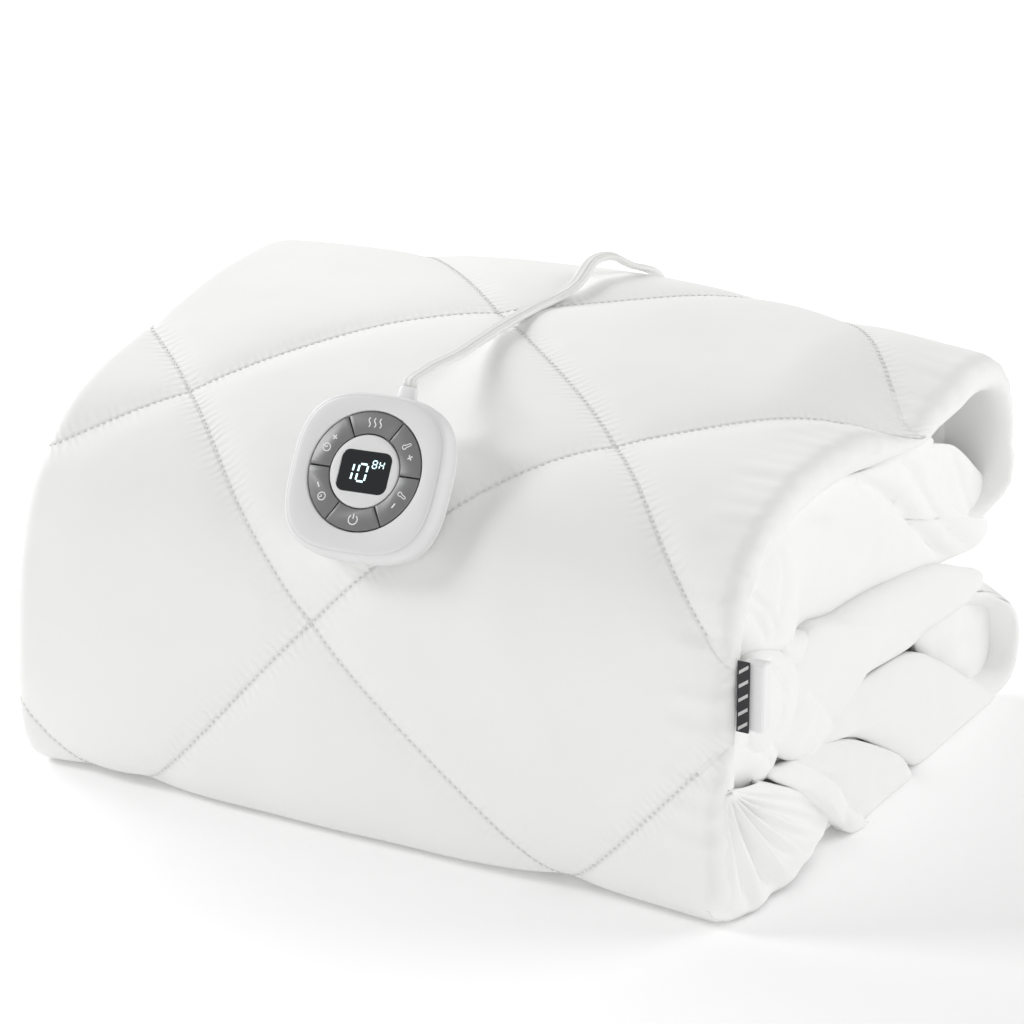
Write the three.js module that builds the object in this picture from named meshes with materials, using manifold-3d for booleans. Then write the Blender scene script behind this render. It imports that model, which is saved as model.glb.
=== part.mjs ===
// Heated mattress pad, folded into a bundle, with its controller lying on the front slope.
// Millimetres, +Z up. X runs along the front of the bundle, Y from front to back.
import * as THREE from "three";
import { mergeVertices } from "three/addons/utils/BufferGeometryUtils.js";
import Module from "manifold-3d";

const wasm = await Module();
wasm.setup();

// Driving dimensions of the bundle
const bundleLength = 398;
const diamondAlong = 240; // one quilted diamond, measured along X
const diamondAcross = 232; // and along the cloth, from front to back
const seamWidth = 22; // how far the stitching draws the filling down on each side
const seamDepth = 0.38; // share of the thickness that it takes at the stitching
const diamondStart = { x: -29, run: 812 }; // one crossing of two seams, on the front
const topCrown = { rise: 14, middle: 35, span: 500 }; // of the top: height, x of its crest, width
const skirtThickness = 2;

// Driving dimensions of the controller
const remoteHalf = 39.5; // half the width of the squircle housing
const remoteHeight = 20;
const shellHeight = 13; // upper shell
const ringDrop = 1.5; // the housing's middle below the ring's middle
const wellRadius = 29;
const wellDepth = 5;
const discRadius = 17.4;
const keyCount = 6;
const keyGap = 0.35; // round every key
const keyHeight = 3;
const keySunk = 0.3; // the keys' top below the face
const windowSize = { width: 26.2, height: 20, corner: 4.2 };
const remoteCentre = { x: -3.9, y: 3.7, z: 184.9 }; // middle of the ring on the face, y from the front
const remoteTilt = { azimuth: 0.4, elevation: 34.4, roll: 2.8 }; // degrees, of the face's normal

// The lead
const leadDiameter = 5; // round stand-in for the flat three-core cord, 7.4 by 3.3
const leadExit = { along: 7, up: 44.4, below: 12.5 }; // end of the bush, from the ring's middle
const bushLength = 6;
const coilRadius = 36; // to the middle of the turns
const coilWidth = 21;
const coilHeight = 8;
const coilPlace = { x: -22, y: 366 };

// Middle line of the folded pad, one row for each turn or straight of the cloth, from the edge
// tucked inside the upper half to the edge tucked inside the lower half. left and right give
// [y from the front, z from the floor] at the two ends of the bundle, half is half the thickness,
// reach is the x where the layer ends on the left and on the right, crown its share of the
// top's rise.
const foldRows = [
  { part: "upper tail", left: [216, 155], right: [216, 155], half: 5, reach: [-200, 184], crown: 0.6 },
  { part: "upper tail", left: [196, 157], right: [196, 157], half: 9, reach: [-201, 188], crown: 0.6 },
  { part: "upper tail", left: [156, 156], right: [156, 157], half: 11, reach: [-202, 190], crown: 0.6 },
  { part: "upper tail", left: [118, 153], right: [104, 157], half: 11, reach: [-202, 190], crown: 0.5 },
  { part: "upper tail", left: [88, 147], right: [64, 156], half: 10, reach: [-202, 190], crown: 0.3 },
  { part: "upper front", left: [67, 139], right: [44, 149], half: 7.5, reach: [-202, 190], crown: 0.2 },
  { part: "upper front", left: [62, 130.5], right: [36, 140.5], half: 6, reach: [-202, 190], crown: 0.1 },
  { part: "upper front", left: [70, 122.5], right: [44, 131.5], half: 6.5, reach: [-202, 190], crown: 0 },
  { part: "under layer", left: [96, 119], right: [72, 127.5], half: 8.5, reach: [-202, 190], crown: 0 },
  { part: "under layer", left: [136, 118], right: [128, 122], half: 9, reach: [-202, 190], crown: 0 },
  { part: "under layer", left: [170, 115], right: [168, 116], half: 9, reach: [-201, 191], crown: 0 },
  { part: "under layer", left: [212, 111], right: [215, 110.5], half: 9, reach: [-200, 195], crown: 0 },
  { part: "under layer", left: [244, 107], right: [246, 105.5], half: 8, reach: [-200, 201], crown: 0 },
  { part: "upper back", left: [268, 106.5], right: [271, 103.5], half: 6, reach: [-199, 203], crown: 0 },
  { part: "upper back", left: [282, 118.5], right: [286, 116.5], half: 5, reach: [-200, 203], crown: 0 },
  { part: "upper back", left: [286, 140], right: [287, 138.5], half: 5, reach: [-200, 203], crown: 0.2 },
  { part: "upper back", left: [283, 163], right: [283, 160.5], half: 6.5, reach: [-200, 203], crown: 0.6 },
  { part: "upper back", left: [269, 178.5], right: [269, 176.5], half: 8.5, reach: [-199, 203], crown: 0.9 },
  { part: "top", left: [240, 185.5], right: [240, 184.5], half: 10.5, reach: [-198, 202], crown: 1 },
  { part: "top", left: [196, 186], right: [190, 184.5], half: 11, reach: [-197, 198], crown: 1 },
  { part: "top", left: [143, 182.5], right: [141, 184.5], half: 11, reach: [-196, 193], crown: 0.9 },
  { part: "top", left: [93, 176.5], right: [95, 184], half: 11, reach: [-195, 189], crown: 0.5 },
  { part: "front corner", left: [55, 167], right: [58, 181], half: 11, reach: [-195, 188], crown: 0.3 },
  { part: "front corner", left: [32, 153.5], right: [34, 174.5], half: 11, reach: [-195, 188], crown: 0.15 },
  { part: "front corner", left: [15.5, 135], right: [15, 162], half: 11, reach: [-195, 188], crown: 0 },
  { part: "front", left: [6.5, 109], right: [4.5, 143], half: 11, reach: [-195, 188], crown: 0 },
  { part: "front", left: [2, 82], right: [-0.5, 116], half: 11, reach: [-195, 188], crown: 0 },
  { part: "front", left: [-0.5, 57], right: [-3.5, 85], half: 11, reach: [-195, 189], crown: 0 },
  { part: "front", left: [-2, 34], right: [-5.5, 50], half: 11, reach: [-195, 189], crown: 0 },
  { part: "lower corner", left: [-0.5, 15], right: [-4, 19], half: 10.5, reach: [-193, 190], crown: 0 },
  { part: "lower corner", left: [8, 8.5], right: [7, 8.5], half: 10, reach: [-192, 190], crown: 0 },
  { part: "floor layer", left: [46, 8], right: [44, 8], half: 9.5, reach: [-193, 191], crown: 0 },
  { part: "floor layer", left: [100, 8.5], right: [95, 8.5], half: 9.5, reach: [-194, 192], crown: 0 },
  { part: "floor layer", left: [136, 7.2], right: [134, 7.2], half: 8, reach: [-195, 200], crown: 0 },
  { part: "lower roll", left: [155, 6.5], right: [155, 6.5], half: 6, reach: [-195, 203], crown: 0 },
  { part: "lower roll", left: [162, 12.8], right: [162, 12.8], half: 4.8, reach: [-196, 203], crown: 0 },
  { part: "lower roll", left: [153, 19], right: [153, 19], half: 5, reach: [-196, 203], crown: 0 },
  { part: "lower roll", left: [128, 26.5], right: [128, 26.5], half: 7.5, reach: [-197, 199], crown: 0 },
  { part: "lower roll", left: [100, 35.5], right: [100, 36], half: 8.5, reach: [-198, 193], crown: 0 },
  { part: "lower roll", left: [76, 43], right: [72, 44.5], half: 7.5, reach: [-198, 190], crown: 0 },
  { part: "lower front", left: [61, 49], right: [56, 51], half: 5.5, reach: [-199, 190], crown: 0 },
  { part: "lower front", left: [58, 55.5], right: [53, 57.5], half: 4.5, reach: [-199, 190], crown: 0 },
  { part: "lower front", left: [66, 60.5], right: [61, 62], half: 4.5, reach: [-199, 191], crown: 0 },
  { part: "lower layer", left: [84, 60], right: [84, 60.5], half: 5.5, reach: [-199, 194], crown: 0 },
  { part: "lower layer", left: [110, 56], right: [110, 56.5], half: 8.5, reach: [-200, 198], crown: 0 },
  { part: "lower layer", left: [142, 49], right: [142, 49.5], half: 13, reach: [-200, 200], crown: 0 },
  { part: "lower layer", left: [178, 36], right: [178, 36], half: 18, reach: [-200, 201], crown: 0 },
  { part: "lower layer", left: [214, 21], right: [214, 21], half: 16, reach: [-200, 202], crown: 0 },
  { part: "lower layer", left: [246, 10.4], right: [247, 10.2], half: 11, reach: [-199, 204], crown: 0 },
  { part: "lower back", left: [271, 6.8], right: [275, 6.3], half: 7.5, reach: [-199, 205], crown: 0 },
  { part: "lower back", left: [288, 13], right: [293, 11], half: 6.5, reach: [-199, 206], crown: 0 },
  { part: "lower back", left: [295, 28], right: [300.5, 26], half: 6.5, reach: [-199, 206], crown: 0 },
  { part: "lower back", left: [291, 45], right: [296.5, 44], half: 6.5, reach: [-199, 205], crown: 0 },
  { part: "lower back", left: [277, 59.5], right: [281, 57.5], half: 7.5, reach: [-199, 204], crown: 0 },
  { part: "middle layer", left: [252, 70], right: [255, 69], half: 11, reach: [-199, 202], crown: 0 },
  { part: "middle layer", left: [220, 78], right: [222, 78], half: 14.5, reach: [-200, 201], crown: 0 },
  { part: "middle layer", left: [180, 85], right: [180, 84.5], half: 17, reach: [-200, 200], crown: 0 },
  { part: "middle layer", left: [140, 88], right: [140, 88.5], half: 17.5, reach: [-201, 199], crown: 0 },
  { part: "middle layer", left: [108, 88], right: [104, 89.5], half: 16.5, reach: [-201, 198], crown: 0 },
  { part: "lower tail", left: [86, 87], right: [80, 88.5], half: 13, reach: [-201, 198], crown: 0 },
  { part: "lower tail", left: [74, 85], right: [67, 86], half: 7, reach: [-200, 197], crown: 0 },
];
const longestStep = { seen: 17, hidden: 26 };
const seenParts = ["top", "front corner", "front", "lower corner", "floor layer", "upper back"];
const stationCount = 12; // lengthwise stations between the two rounded rims
const rimSteps = [
  { inset: 0, share: 0.22 },
  { inset: 3, share: 0.72 },
  { inset: 9, share: 0.96 },
];

const fabric = { color: 0xf2f2f0, roughness: 0.92, metalness: 0 };
const knit = { color: 0xf6f6f4, roughness: 0.85, metalness: 0 };
const whitePlastic = { color: 0xf0f0f0, roughness: 0.38, metalness: 0 };
const greyPlastic = { color: 0x7f8082, roughness: 0.45, metalness: 0 };
const smokedAcrylic = { color: 0x101418, roughness: 0.12, metalness: 0 };
const whiteVinyl = { color: 0xededeb, roughness: 0.5, metalness: 0 };
const wovenTape = { color: 0x9a9a9a, roughness: 0.9, metalness: 0 };

function mix(a, b, t) {
  return a + (b - a) * t;
}

function smooth(a, b, v) {
  const t = Math.min(Math.max((v - a) / (b - a), 0), 1);
  return t * t * (3 - 2 * t);
}

// A closed sheet from two grids of points, front(i, j) and back(i, j), joined round their edges.
// front's faces look the way of di x dj.
function sheetGeometry(iCount, jCount, front, back) {
  const positions = [];
  const faces = [];
  const gridSize = iCount * jCount;
  for (const side of [front, back]) {
    for (let i = 0; i < iCount; i++) {
      for (let j = 0; j < jCount; j++) {
        positions.push(...side(i, j));
      }
    }
  }
  const at = (side, i, j) => side * gridSize + i * jCount + j;
  const quad = (a, b, c, d) => faces.push(a, b, c, a, c, d);
  for (let i = 0; i + 1 < iCount; i++) {
    for (let j = 0; j + 1 < jCount; j++) {
      quad(at(0, i, j), at(0, i + 1, j), at(0, i + 1, j + 1), at(0, i, j + 1));
      quad(at(1, i, j), at(1, i, j + 1), at(1, i + 1, j + 1), at(1, i + 1, j));
    }
  }
  for (let i = 0; i + 1 < iCount; i++) {
    quad(at(0, i, 0), at(1, i, 0), at(1, i + 1, 0), at(0, i + 1, 0));
    const last = jCount - 1;
    quad(at(0, i, last), at(0, i + 1, last), at(1, i + 1, last), at(1, i, last));
  }
  for (let j = 0; j + 1 < jCount; j++) {
    quad(at(0, 0, j), at(0, 0, j + 1), at(1, 0, j + 1), at(1, 0, j));
    const last = iCount - 1;
    quad(at(0, last, j), at(1, last, j), at(1, last, j + 1), at(0, last, j + 1));
  }
  const geometry = new THREE.BufferGeometry();
  geometry.setAttribute("position", new THREE.Float32BufferAttribute(positions, 3));
  geometry.setIndex(faces);
  geometry.computeVertexNormals();
  return geometry;
}

// 0 on a seam of the diamond quilting, 1 away from it; run is the distance along the cloth
function quilting(x, run) {
  const along = (x - diamondStart.x) / diamondAlong;
  const across = (run - diamondStart.run) / diamondAcross;
  const pitch = 1 / Math.hypot(1 / diamondAlong, 1 / diamondAcross);
  const fromLine = (v) => Math.abs(v - Math.round(v)) * pitch;
  const nearest = Math.min(fromLine(along + across), fromLine(along - across));
  return 1 - Math.exp(-((nearest / seamWidth) ** 2));
}

// Where along the rows the section is sampled, as row number and share of the way to the next
function sampleRows() {
  const samples = [];
  for (let row = 0; row + 1 < foldRows.length; row++) {
    const here = foldRows[row];
    const next = foldRows[row + 1];
    const span = Math.hypot(next.right[0] - here.right[0], next.right[1] - here.right[1]);
    const step = seenParts.includes(here.part) ? longestStep.seen : longestStep.hidden;
    const steps = Math.ceil(span / step);
    for (let k = 0; k < steps; k++) {
      samples.push(row + k / steps);
    }
  }
  samples.push(foldRows.length - 1);
  return samples;
}

function quiltedPad() {
  const samples = sampleRows();
  const lastRow = foldRows.length - 1;
  const column = (pick) => {
    const curve = new THREE.CatmullRomCurve3(
      foldRows.map((row, k) => new THREE.Vector3(pick(row), k, 0)),
      false,
      "catmullrom",
      0.5,
    );
    return (place) => curve.getPoint(place / lastRow).x;
  };
  const columns = {
    leftY: column((row) => row.left[0]),
    leftZ: column((row) => row.left[1]),
    rightY: column((row) => row.right[0]),
    rightZ: column((row) => row.right[1]),
    half: column((row) => row.half),
    reachLeft: column((row) => row.reach[0]),
    reachRight: column((row) => row.reach[1]),
    crown: column((row) => row.crown),
  };
  const middle = (place, x) => {
    const share = x / bundleLength + 0.5;
    const rise = topCrown.rise * Math.cos((Math.PI * (x - topCrown.middle)) / topCrown.span) ** 2;
    const y = mix(columns.leftY(place), columns.rightY(place), share);
    const z = mix(columns.leftZ(place), columns.rightZ(place), share);
    return [y, z + rise * columns.crown(place)];
  };
  const runs = [0];
  for (let k = 1; k < samples.length; k++) {
    const [y0, z0] = middle(samples[k - 1], 0);
    const [y1, z1] = middle(samples[k], 0);
    runs.push(runs[k - 1] + Math.hypot(y1 - y0, z1 - z0));
  }
  const stations = [
    ...rimSteps.map((rim) => ({ end: 0, ...rim })),
    ...Array.from({ length: stationCount }, (_, k) => ({ along: (k + 1) / (stationCount + 1) })),
    ...rimSteps.map((rim) => ({ end: 1, ...rim })).reverse(),
  ];
  const pointAt = (sign) => (i, j) => {
    const place = samples[i];
    const station = stations[j];
    const left = columns.reachLeft(place);
    const right = columns.reachRight(place);
    let x = mix(left + 9, right - 9, station.along ?? 0);
    let share = 1;
    if (station.end !== undefined) {
      x = station.end ? right - station.inset : left + station.inset;
      share = station.share;
    }
    const [y, z] = middle(place, x);
    const step = 0.02;
    const [yBefore, zBefore] = middle(Math.max(place - step, 0), x);
    const [yAfter, zAfter] = middle(Math.min(place + step, lastRow), x);
    const length = Math.hypot(yAfter - yBefore, zAfter - zBefore);
    const outward = [(zAfter - zBefore) / length, -(yAfter - yBefore) / length];
    const drawn = 1 - seamDepth * (1 - quilting(x, runs[i]));
    const half = columns.half(place) * share * drawn * sign;
    return [x, y + outward[0] * half, Math.max(z + outward[1] * half, 0)];
  };
  return sheetGeometry(samples.length, stations.length, pointAt(1), pointAt(-1));
}

// A closed loft through rings of points, each ring with the same count, capped flat at both ends
function loftGeometry(rings) {
  const count = rings[0].length;
  const positions = [];
  const faces = [];
  for (const ring of rings) {
    for (const point of ring) {
      positions.push(...point);
    }
  }
  const ringMiddle = (ring) => ring[0].map((_, axis) => ring.reduce((sum, p) => sum + p[axis], 0) / count);
  positions.push(...ringMiddle(rings[0]), ...ringMiddle(rings.at(-1)));
  const bottom = rings.length * count;
  const top = bottom + 1;
  for (let k = 0; k < count; k++) {
    const next = (k + 1) % count;
    for (let ring = 0; ring + 1 < rings.length; ring++) {
      const here = ring * count;
      const above = here + count;
      faces.push(here + k, here + next, above + next, here + k, above + next, above + k);
    }
    const last = (rings.length - 1) * count;
    faces.push(bottom, next, k, top, last + k, last + next);
  }
  const geometry = new THREE.BufferGeometry();
  geometry.setAttribute("position", new THREE.Float32BufferAttribute(positions, 3));
  geometry.setIndex(faces);
  geometry.computeVertexNormals();
  return geometry;
}

function solidOf(geometry) {
  const bare = geometry.index ? geometry.toNonIndexed() : geometry.clone();
  const kept = new THREE.BufferGeometry().setAttribute("position", bare.getAttribute("position"));
  const merged = mergeVertices(kept, 1e-4);
  const vertProperties = merged.attributes.position.array;
  const triVerts = new Uint32Array(merged.index.array);
  return new wasm.Manifold(new wasm.Mesh({ numProp: 3, vertProperties, triVerts }));
}

function geometryOf(solid) {
  const mesh = solid.getMesh();
  const geometry = new THREE.BufferGeometry();
  geometry.setAttribute("position", new THREE.BufferAttribute(Float32Array.from(mesh.vertProperties), 3));
  geometry.setIndex(Array.from(mesh.triVerts));
  geometry.computeVertexNormals();
  return geometry;
}

// Rows of the skirt that is drawn over the upper folds at the right end, from front to back:
// its lower and upper edge, and how far out it stands there
const upperSkirtRows = [
  { y: 0, bottom: 144, top: 162, out: 191.5 },
  { y: 11, bottom: 136, top: 169, out: 192.5 },
  { y: 26, bottom: 130, top: 174, out: 193.5 },
  { y: 38, bottom: 126, top: 176, out: 194 },
  { y: 56, bottom: 121, top: 178, out: 195 },
  { y: 84, bottom: 118, top: 179, out: 196 },
  { y: 112, bottom: 116, top: 178, out: 196.5 },
  { y: 140, bottom: 112, top: 175, out: 197.5 },
  { y: 168, bottom: 108, top: 169, out: 198.5 },
  { y: 190, bottom: 105, top: 157, out: 199.5 },
  { y: 207, bottom: 103, top: 134, out: 200.5 },
];
const upperSkirtRise = 5;
const tongueGroove = { y: 33, width: 7, depth: 3.5 };

function upperSkirt() {
  const across = 9;
  const out = (i, j) => {
    const row = upperSkirtRows[i];
    const v = j / (across - 1);
    const z = mix(row.bottom, row.top, v);
    const groove = tongueGroove.depth * Math.exp(-(((row.y - tongueGroove.y) / tongueGroove.width) ** 2));
    const x = row.out + upperSkirtRise * Math.sin(Math.PI * v) ** 0.7 - groove * Math.sin(Math.PI * v);
    return [x, row.y, z];
  };
  const inner = (i, j) => {
    const [x, y, z] = out(i, j);
    return [x - skirtThickness, y, z];
  };
  return sheetGeometry(upperSkirtRows.length, across, out, inner);
}

// Gathers that fan out from the point where the skirt is pinched into the front corner.
// angle is from straight back, downwards, in degrees, and reach is the fan's radius there.
const pinch = { x: 191, y: -2, z: 68 };
const fanRows = [
  { angle: 5, reach: 30 },
  { angle: 16, reach: 62 },
  { angle: 27, reach: 90 },
  { angle: 38, reach: 98 },
  { angle: 50, reach: 81 },
  { angle: 63, reach: 67 },
  { angle: 77, reach: 59 },
  { angle: 91, reach: 56 },
];
const gathers = { count: 5.5, height: 2.6, rise: 13 };

function lowerSkirt() {
  const around = 37;
  const outward = 5;
  const fanCurve = new THREE.SplineCurve(fanRows.map((row) => new THREE.Vector2(row.angle, row.reach)));
  const out = (i, j) => {
    const t = i / (around - 1);
    const v = j / (outward - 1);
    const fan = fanCurve.getPoint(t);
    const angle = THREE.MathUtils.degToRad(fan.x);
    const radius = mix(3, fan.y, v);
    const ripple = gathers.height * Math.cos(2 * Math.PI * gathers.count * t) * smooth(0, 0.6, v);
    const x = pinch.x + gathers.rise * Math.sin((Math.PI / 2) * Math.min(1.25 * v, 1)) + ripple;
    return [x, pinch.y + radius * Math.cos(angle), pinch.z - radius * Math.sin(angle)];
  };
  const inner = (i, j) => {
    const [x, y, z] = out(i, j);
    return [x - skirtThickness, y, z];
  };
  return sheetGeometry(around, outward, out, inner);
}

function roundedRectangle(width, height, corner) {
  const shape = new THREE.Shape();
  const x = width / 2;
  const y = height / 2;
  shape.moveTo(-x + corner, -y);
  shape.lineTo(x - corner, -y);
  shape.absarc(x - corner, -y + corner, corner, -Math.PI / 2, 0);
  shape.lineTo(x, y - corner);
  shape.absarc(x - corner, y - corner, corner, 0, Math.PI / 2);
  shape.lineTo(-x + corner, y);
  shape.absarc(-x + corner, y - corner, corner, Math.PI / 2, Math.PI);
  shape.lineTo(-x, -y + corner);
  shape.absarc(-x + corner, -y + corner, corner, Math.PI, 1.5 * Math.PI);
  return shape;
}

// A rounded plate standing on z = 0, its top edge bevelled
function plateGeometry(width, height, thickness, corner, bevel) {
  const inner = roundedRectangle(width - 2 * bevel, height - 2 * bevel, corner - bevel);
  const geometry = new THREE.ExtrudeGeometry(inner, {
    depth: thickness - 2 * bevel,
    curveSegments: 4,
    bevelEnabled: bevel > 0,
    bevelSegments: 1,
    bevelSize: bevel,
    bevelThickness: bevel,
  });
  return geometry.translate(0, 0, bevel);
}

const squircleCorners = 3; // exponent of the housing's outline
const squirclePoints = 36;

function squircleRing(half, z) {
  return Array.from({ length: squirclePoints }, (_, k) => {
    const angle = (2 * Math.PI * k) / squirclePoints;
    const side = (v) => Math.sign(v) * Math.abs(v) ** (2 / squircleCorners) * half;
    return [side(Math.cos(angle)), side(Math.sin(angle)) - ringDrop, z];
  });
}

function turned(profile, segments) {
  const points = profile.map(([radius, z]) => new THREE.Vector2(radius, z));
  return new THREE.LatheGeometry(points, segments).rotateX(Math.PI / 2);
}

function remoteShell() {
  const rings = [
    squircleRing(remoteHalf - 0.5, -shellHeight),
    squircleRing(remoteHalf, -shellHeight + 0.8),
    squircleRing(remoteHalf, -4.2),
    squircleRing(remoteHalf - 0.5, -2.2),
    squircleRing(remoteHalf - 1.8, -0.7),
    squircleRing(remoteHalf - 4, 0),
  ];
  const well = turned([[0, -wellDepth], [wellRadius, -wellDepth], [wellRadius, 1], [0, 1]], 48);
  return geometryOf(solidOf(loftGeometry(rings)).subtract(solidOf(well)));
}

function remoteBase() {
  const top = -shellHeight - 0.3;
  return loftGeometry([
    squircleRing(remoteHalf - 9, -remoteHeight),
    squircleRing(remoteHalf - 5, -remoteHeight + 1),
    squircleRing(remoteHalf - 2.6, -remoteHeight + 3.2),
    squircleRing(remoteHalf - 1.4, top),
  ]);
}

function centreDisc() {
  const edge = 0.5;
  const floor = -wellDepth + 0.3;
  const profile = [[0, floor], [discRadius, floor], [discRadius, -edge], [discRadius - edge, 0], [0, 0]];
  const spare = 0.6;
  const recess = plateGeometry(windowSize.width + spare, windowSize.height + spare, 3, windowSize.corner, 0);
  recess.translate(0, 0, -1.5);
  return geometryOf(solidOf(turned(profile, 40)).subtract(solidOf(recess)));
}

function ringKey(number) {
  const middleAngle = THREE.MathUtils.degToRad(90 - number * (360 / keyCount));
  const halfAngle = Math.PI / keyCount;
  const outer = wellRadius - keyGap;
  const inner = discRadius + keyGap;
  const outerTrim = halfAngle - keyGap / outer;
  const innerTrim = halfAngle - keyGap / inner;
  const shape = new THREE.Shape();
  shape.absarc(0, 0, outer, middleAngle - outerTrim, middleAngle + outerTrim, false);
  shape.absarc(0, 0, inner, middleAngle + innerTrim, middleAngle - innerTrim, true);
  const settings = { depth: keyHeight, curveSegments: 6, bevelEnabled: false };
  return new THREE.ExtrudeGeometry(shape, settings).translate(0, 0, -keySunk - keyHeight);
}

// The lead leaves the housing's top edge, drops back onto the bundle, runs over its top, humps
// over the back fold and hangs to the floor. x, y from the front and z of its middle line.
const leadRoute = [
  [-3.5, 52, 218.6],
  [-9.5, 66, 214.2],
  [-14, 83, 211.8],
  [-16.3, 99.7, 210.7],
  [-16, 114.4, 210.3],
  [-15, 127, 210.2],
  [-14.6, 141.5, 210.5],
  [-14.4, 157, 210.9],
  [-12.8, 169, 211.4],
  [-11, 181, 211.9],
  [-10, 195.4, 212.4],
  [-8.7, 209, 213.4],
  [-7.6, 221.6, 214.9],
  [-6.2, 232, 216.1],
  [-3.4, 240, 216.8],
  [-2, 247, 215],
  [-2.8, 257, 210.6],
  [-3.4, 267, 206],
  [-3.6, 277, 200.5],
  [-2, 286, 194],
  [1, 293, 184],
  [4, 296, 168],
  [6, 297.5, 150],
  [8, 299.5, 128],
  [10, 302.5, 102],
  [12, 306.5, 72],
  [15, 311, 45],
  [19, 314.5, 22],
  [23, 319, 8],
  [26.2, 329, 3.1],
  [27, 345, 2.9],
  [27, 362, 2.9],
];
const tailRoute = [
  [-71.4, 364, 2.9],
  [-71.8, 352, 2.9],
  [-76, 341, 2.9],
  [-85.6, 335, 2.9],
];
const leadTouch = 0.3;

function tubeAlong(points, steps) {
  const curve = new THREE.CatmullRomCurve3(points, false, "centripetal");
  const section = new THREE.Shape().absarc(0, 0, leadDiameter / 2, 0, 2 * Math.PI, false);
  const settings = { steps, curveSegments: 4, bevelEnabled: false, extrudePath: curve };
  return new THREE.ExtrudeGeometry(section, settings);
}

function coilRing() {
  const inner = coilRadius - coilWidth / 2;
  const outer = coilRadius + coilWidth / 2;
  const soft = 2.5;
  const profile = [
    [inner + soft, 0],
    [outer - soft, 0],
    [outer, soft],
    [outer, coilHeight - soft],
    [outer - soft, coilHeight],
    [inner + soft, coilHeight],
    [inner, coilHeight - soft],
    [inner, soft],
    [inner + soft, 0],
  ];
  return turned(profile, 28).translate(coilPlace.x, coilPlace.y, 0.3);
}

const pad = new THREE.Group();
const bundle = new THREE.Group(); // y from the front of the bundle
const remote = new THREE.Group(); // the ring's middle on the face, +Z out of the face
pad.add(bundle);
bundle.add(remote);

function addPiece(group, name, geometry, finish) {
  const mesh = new THREE.Mesh(geometry, new THREE.MeshStandardMaterial(finish));
  mesh.name = name;
  group.add(mesh);
  return mesh;
}

function placeRemote() {
  const azimuth = THREE.MathUtils.degToRad(remoteTilt.azimuth);
  const elevation = THREE.MathUtils.degToRad(remoteTilt.elevation);
  const normal = new THREE.Vector3(
    Math.sin(azimuth) * Math.cos(elevation),
    -Math.cos(azimuth) * Math.cos(elevation),
    Math.sin(elevation),
  );
  const across = new THREE.Vector3(Math.cos(azimuth), Math.sin(azimuth), 0);
  across.applyAxisAngle(normal, THREE.MathUtils.degToRad(remoteTilt.roll));
  const up = new THREE.Vector3().crossVectors(normal, across);
  remote.quaternion.setFromRotationMatrix(new THREE.Matrix4().makeBasis(across, up, normal));
  remote.position.set(remoteCentre.x, remoteCentre.y, remoteCentre.z);
  remote.updateMatrix();
}

placeRemote();

addPiece(bundle, "quilted_pad", quiltedPad(), fabric);
addPiece(bundle, "skirt_upper", upperSkirt(), knit);
addPiece(bundle, "skirt_lower", lowerSkirt(), knit);

// The inlet and the label stand on edge in the end of the bundle and point to the right
function standAtEnd(name, geometry, finish, x, y, z) {
  const mesh = addPiece(bundle, name, geometry, finish);
  const axes = [[0, 1, 0], [0, 0, 1], [1, 0, 0]].map((axis) => new THREE.Vector3(...axis));
  mesh.quaternion.setFromRotationMatrix(new THREE.Matrix4().makeBasis(...axes));
  mesh.position.set(x, y, z);
}

standAtEnd("inlet_block", plateGeometry(7.5, 34, 11, 2, 0.8), whitePlastic, 190.5, 4, 114);
standAtEnd("inlet_lip", plateGeometry(2.2, 31, 9, 1, 0.4), whitePlastic, 191.5, 9.5, 114);
standAtEnd("care_tape", plateGeometry(1.4, 35, 8.5, 0.6, 0), wovenTape, 190.5, -1.5, 115);

addPiece(remote, "remote_base", remoteBase(), whitePlastic);
addPiece(remote, "remote_shell", remoteShell(), whitePlastic);
addPiece(remote, "centre_disc", centreDisc(), whitePlastic);
const windowPlate = plateGeometry(windowSize.width, windowSize.height, 1.1, windowSize.corner, 0.2);
addPiece(remote, "display_window", windowPlate.translate(0, 0, -1.2), smokedAcrylic);
for (let number = 0; number < keyCount; number++) {
  addPiece(remote, `key_${number + 1}`, ringKey(number), greyPlastic);
}

const bush = new THREE.CylinderGeometry(3.2, 4, bushLength, 16).scale(1.25, 1, 0.8);
bush.translate(leadExit.along, leadExit.up - bushLength / 2, -leadExit.below);
addPiece(remote, "cord_bush", bush, whitePlastic);

const exitStart = new THREE.Vector3(leadExit.along, leadExit.up + leadTouch, -leadExit.below);
const exitStraight = exitStart.clone().add(new THREE.Vector3(0, 7, 0));
const exitPoints = [exitStart, exitStraight].map((point) => point.applyMatrix4(remote.matrix));
const routePoints = [...exitPoints, ...leadRoute.map((point) => new THREE.Vector3(...point))];
addPiece(bundle, "lead_run", tubeAlong(routePoints, 46), whiteVinyl);
addPiece(bundle, "lead_coil", coilRing(), whiteVinyl);
const tailPoints = tailRoute.map((point) => new THREE.Vector3(...point));
addPiece(bundle, "lead_tail", tubeAlong(tailPoints, 8), whiteVinyl);
const plug = addPiece(bundle, "lead_plug", plateGeometry(12, 30, 8, 2.5, 1.2), whitePlastic);
plug.position.set(-100.7, 329.3, 0.3);
plug.rotation.set(0, 0, Math.PI / 2 + 0.35);

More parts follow.
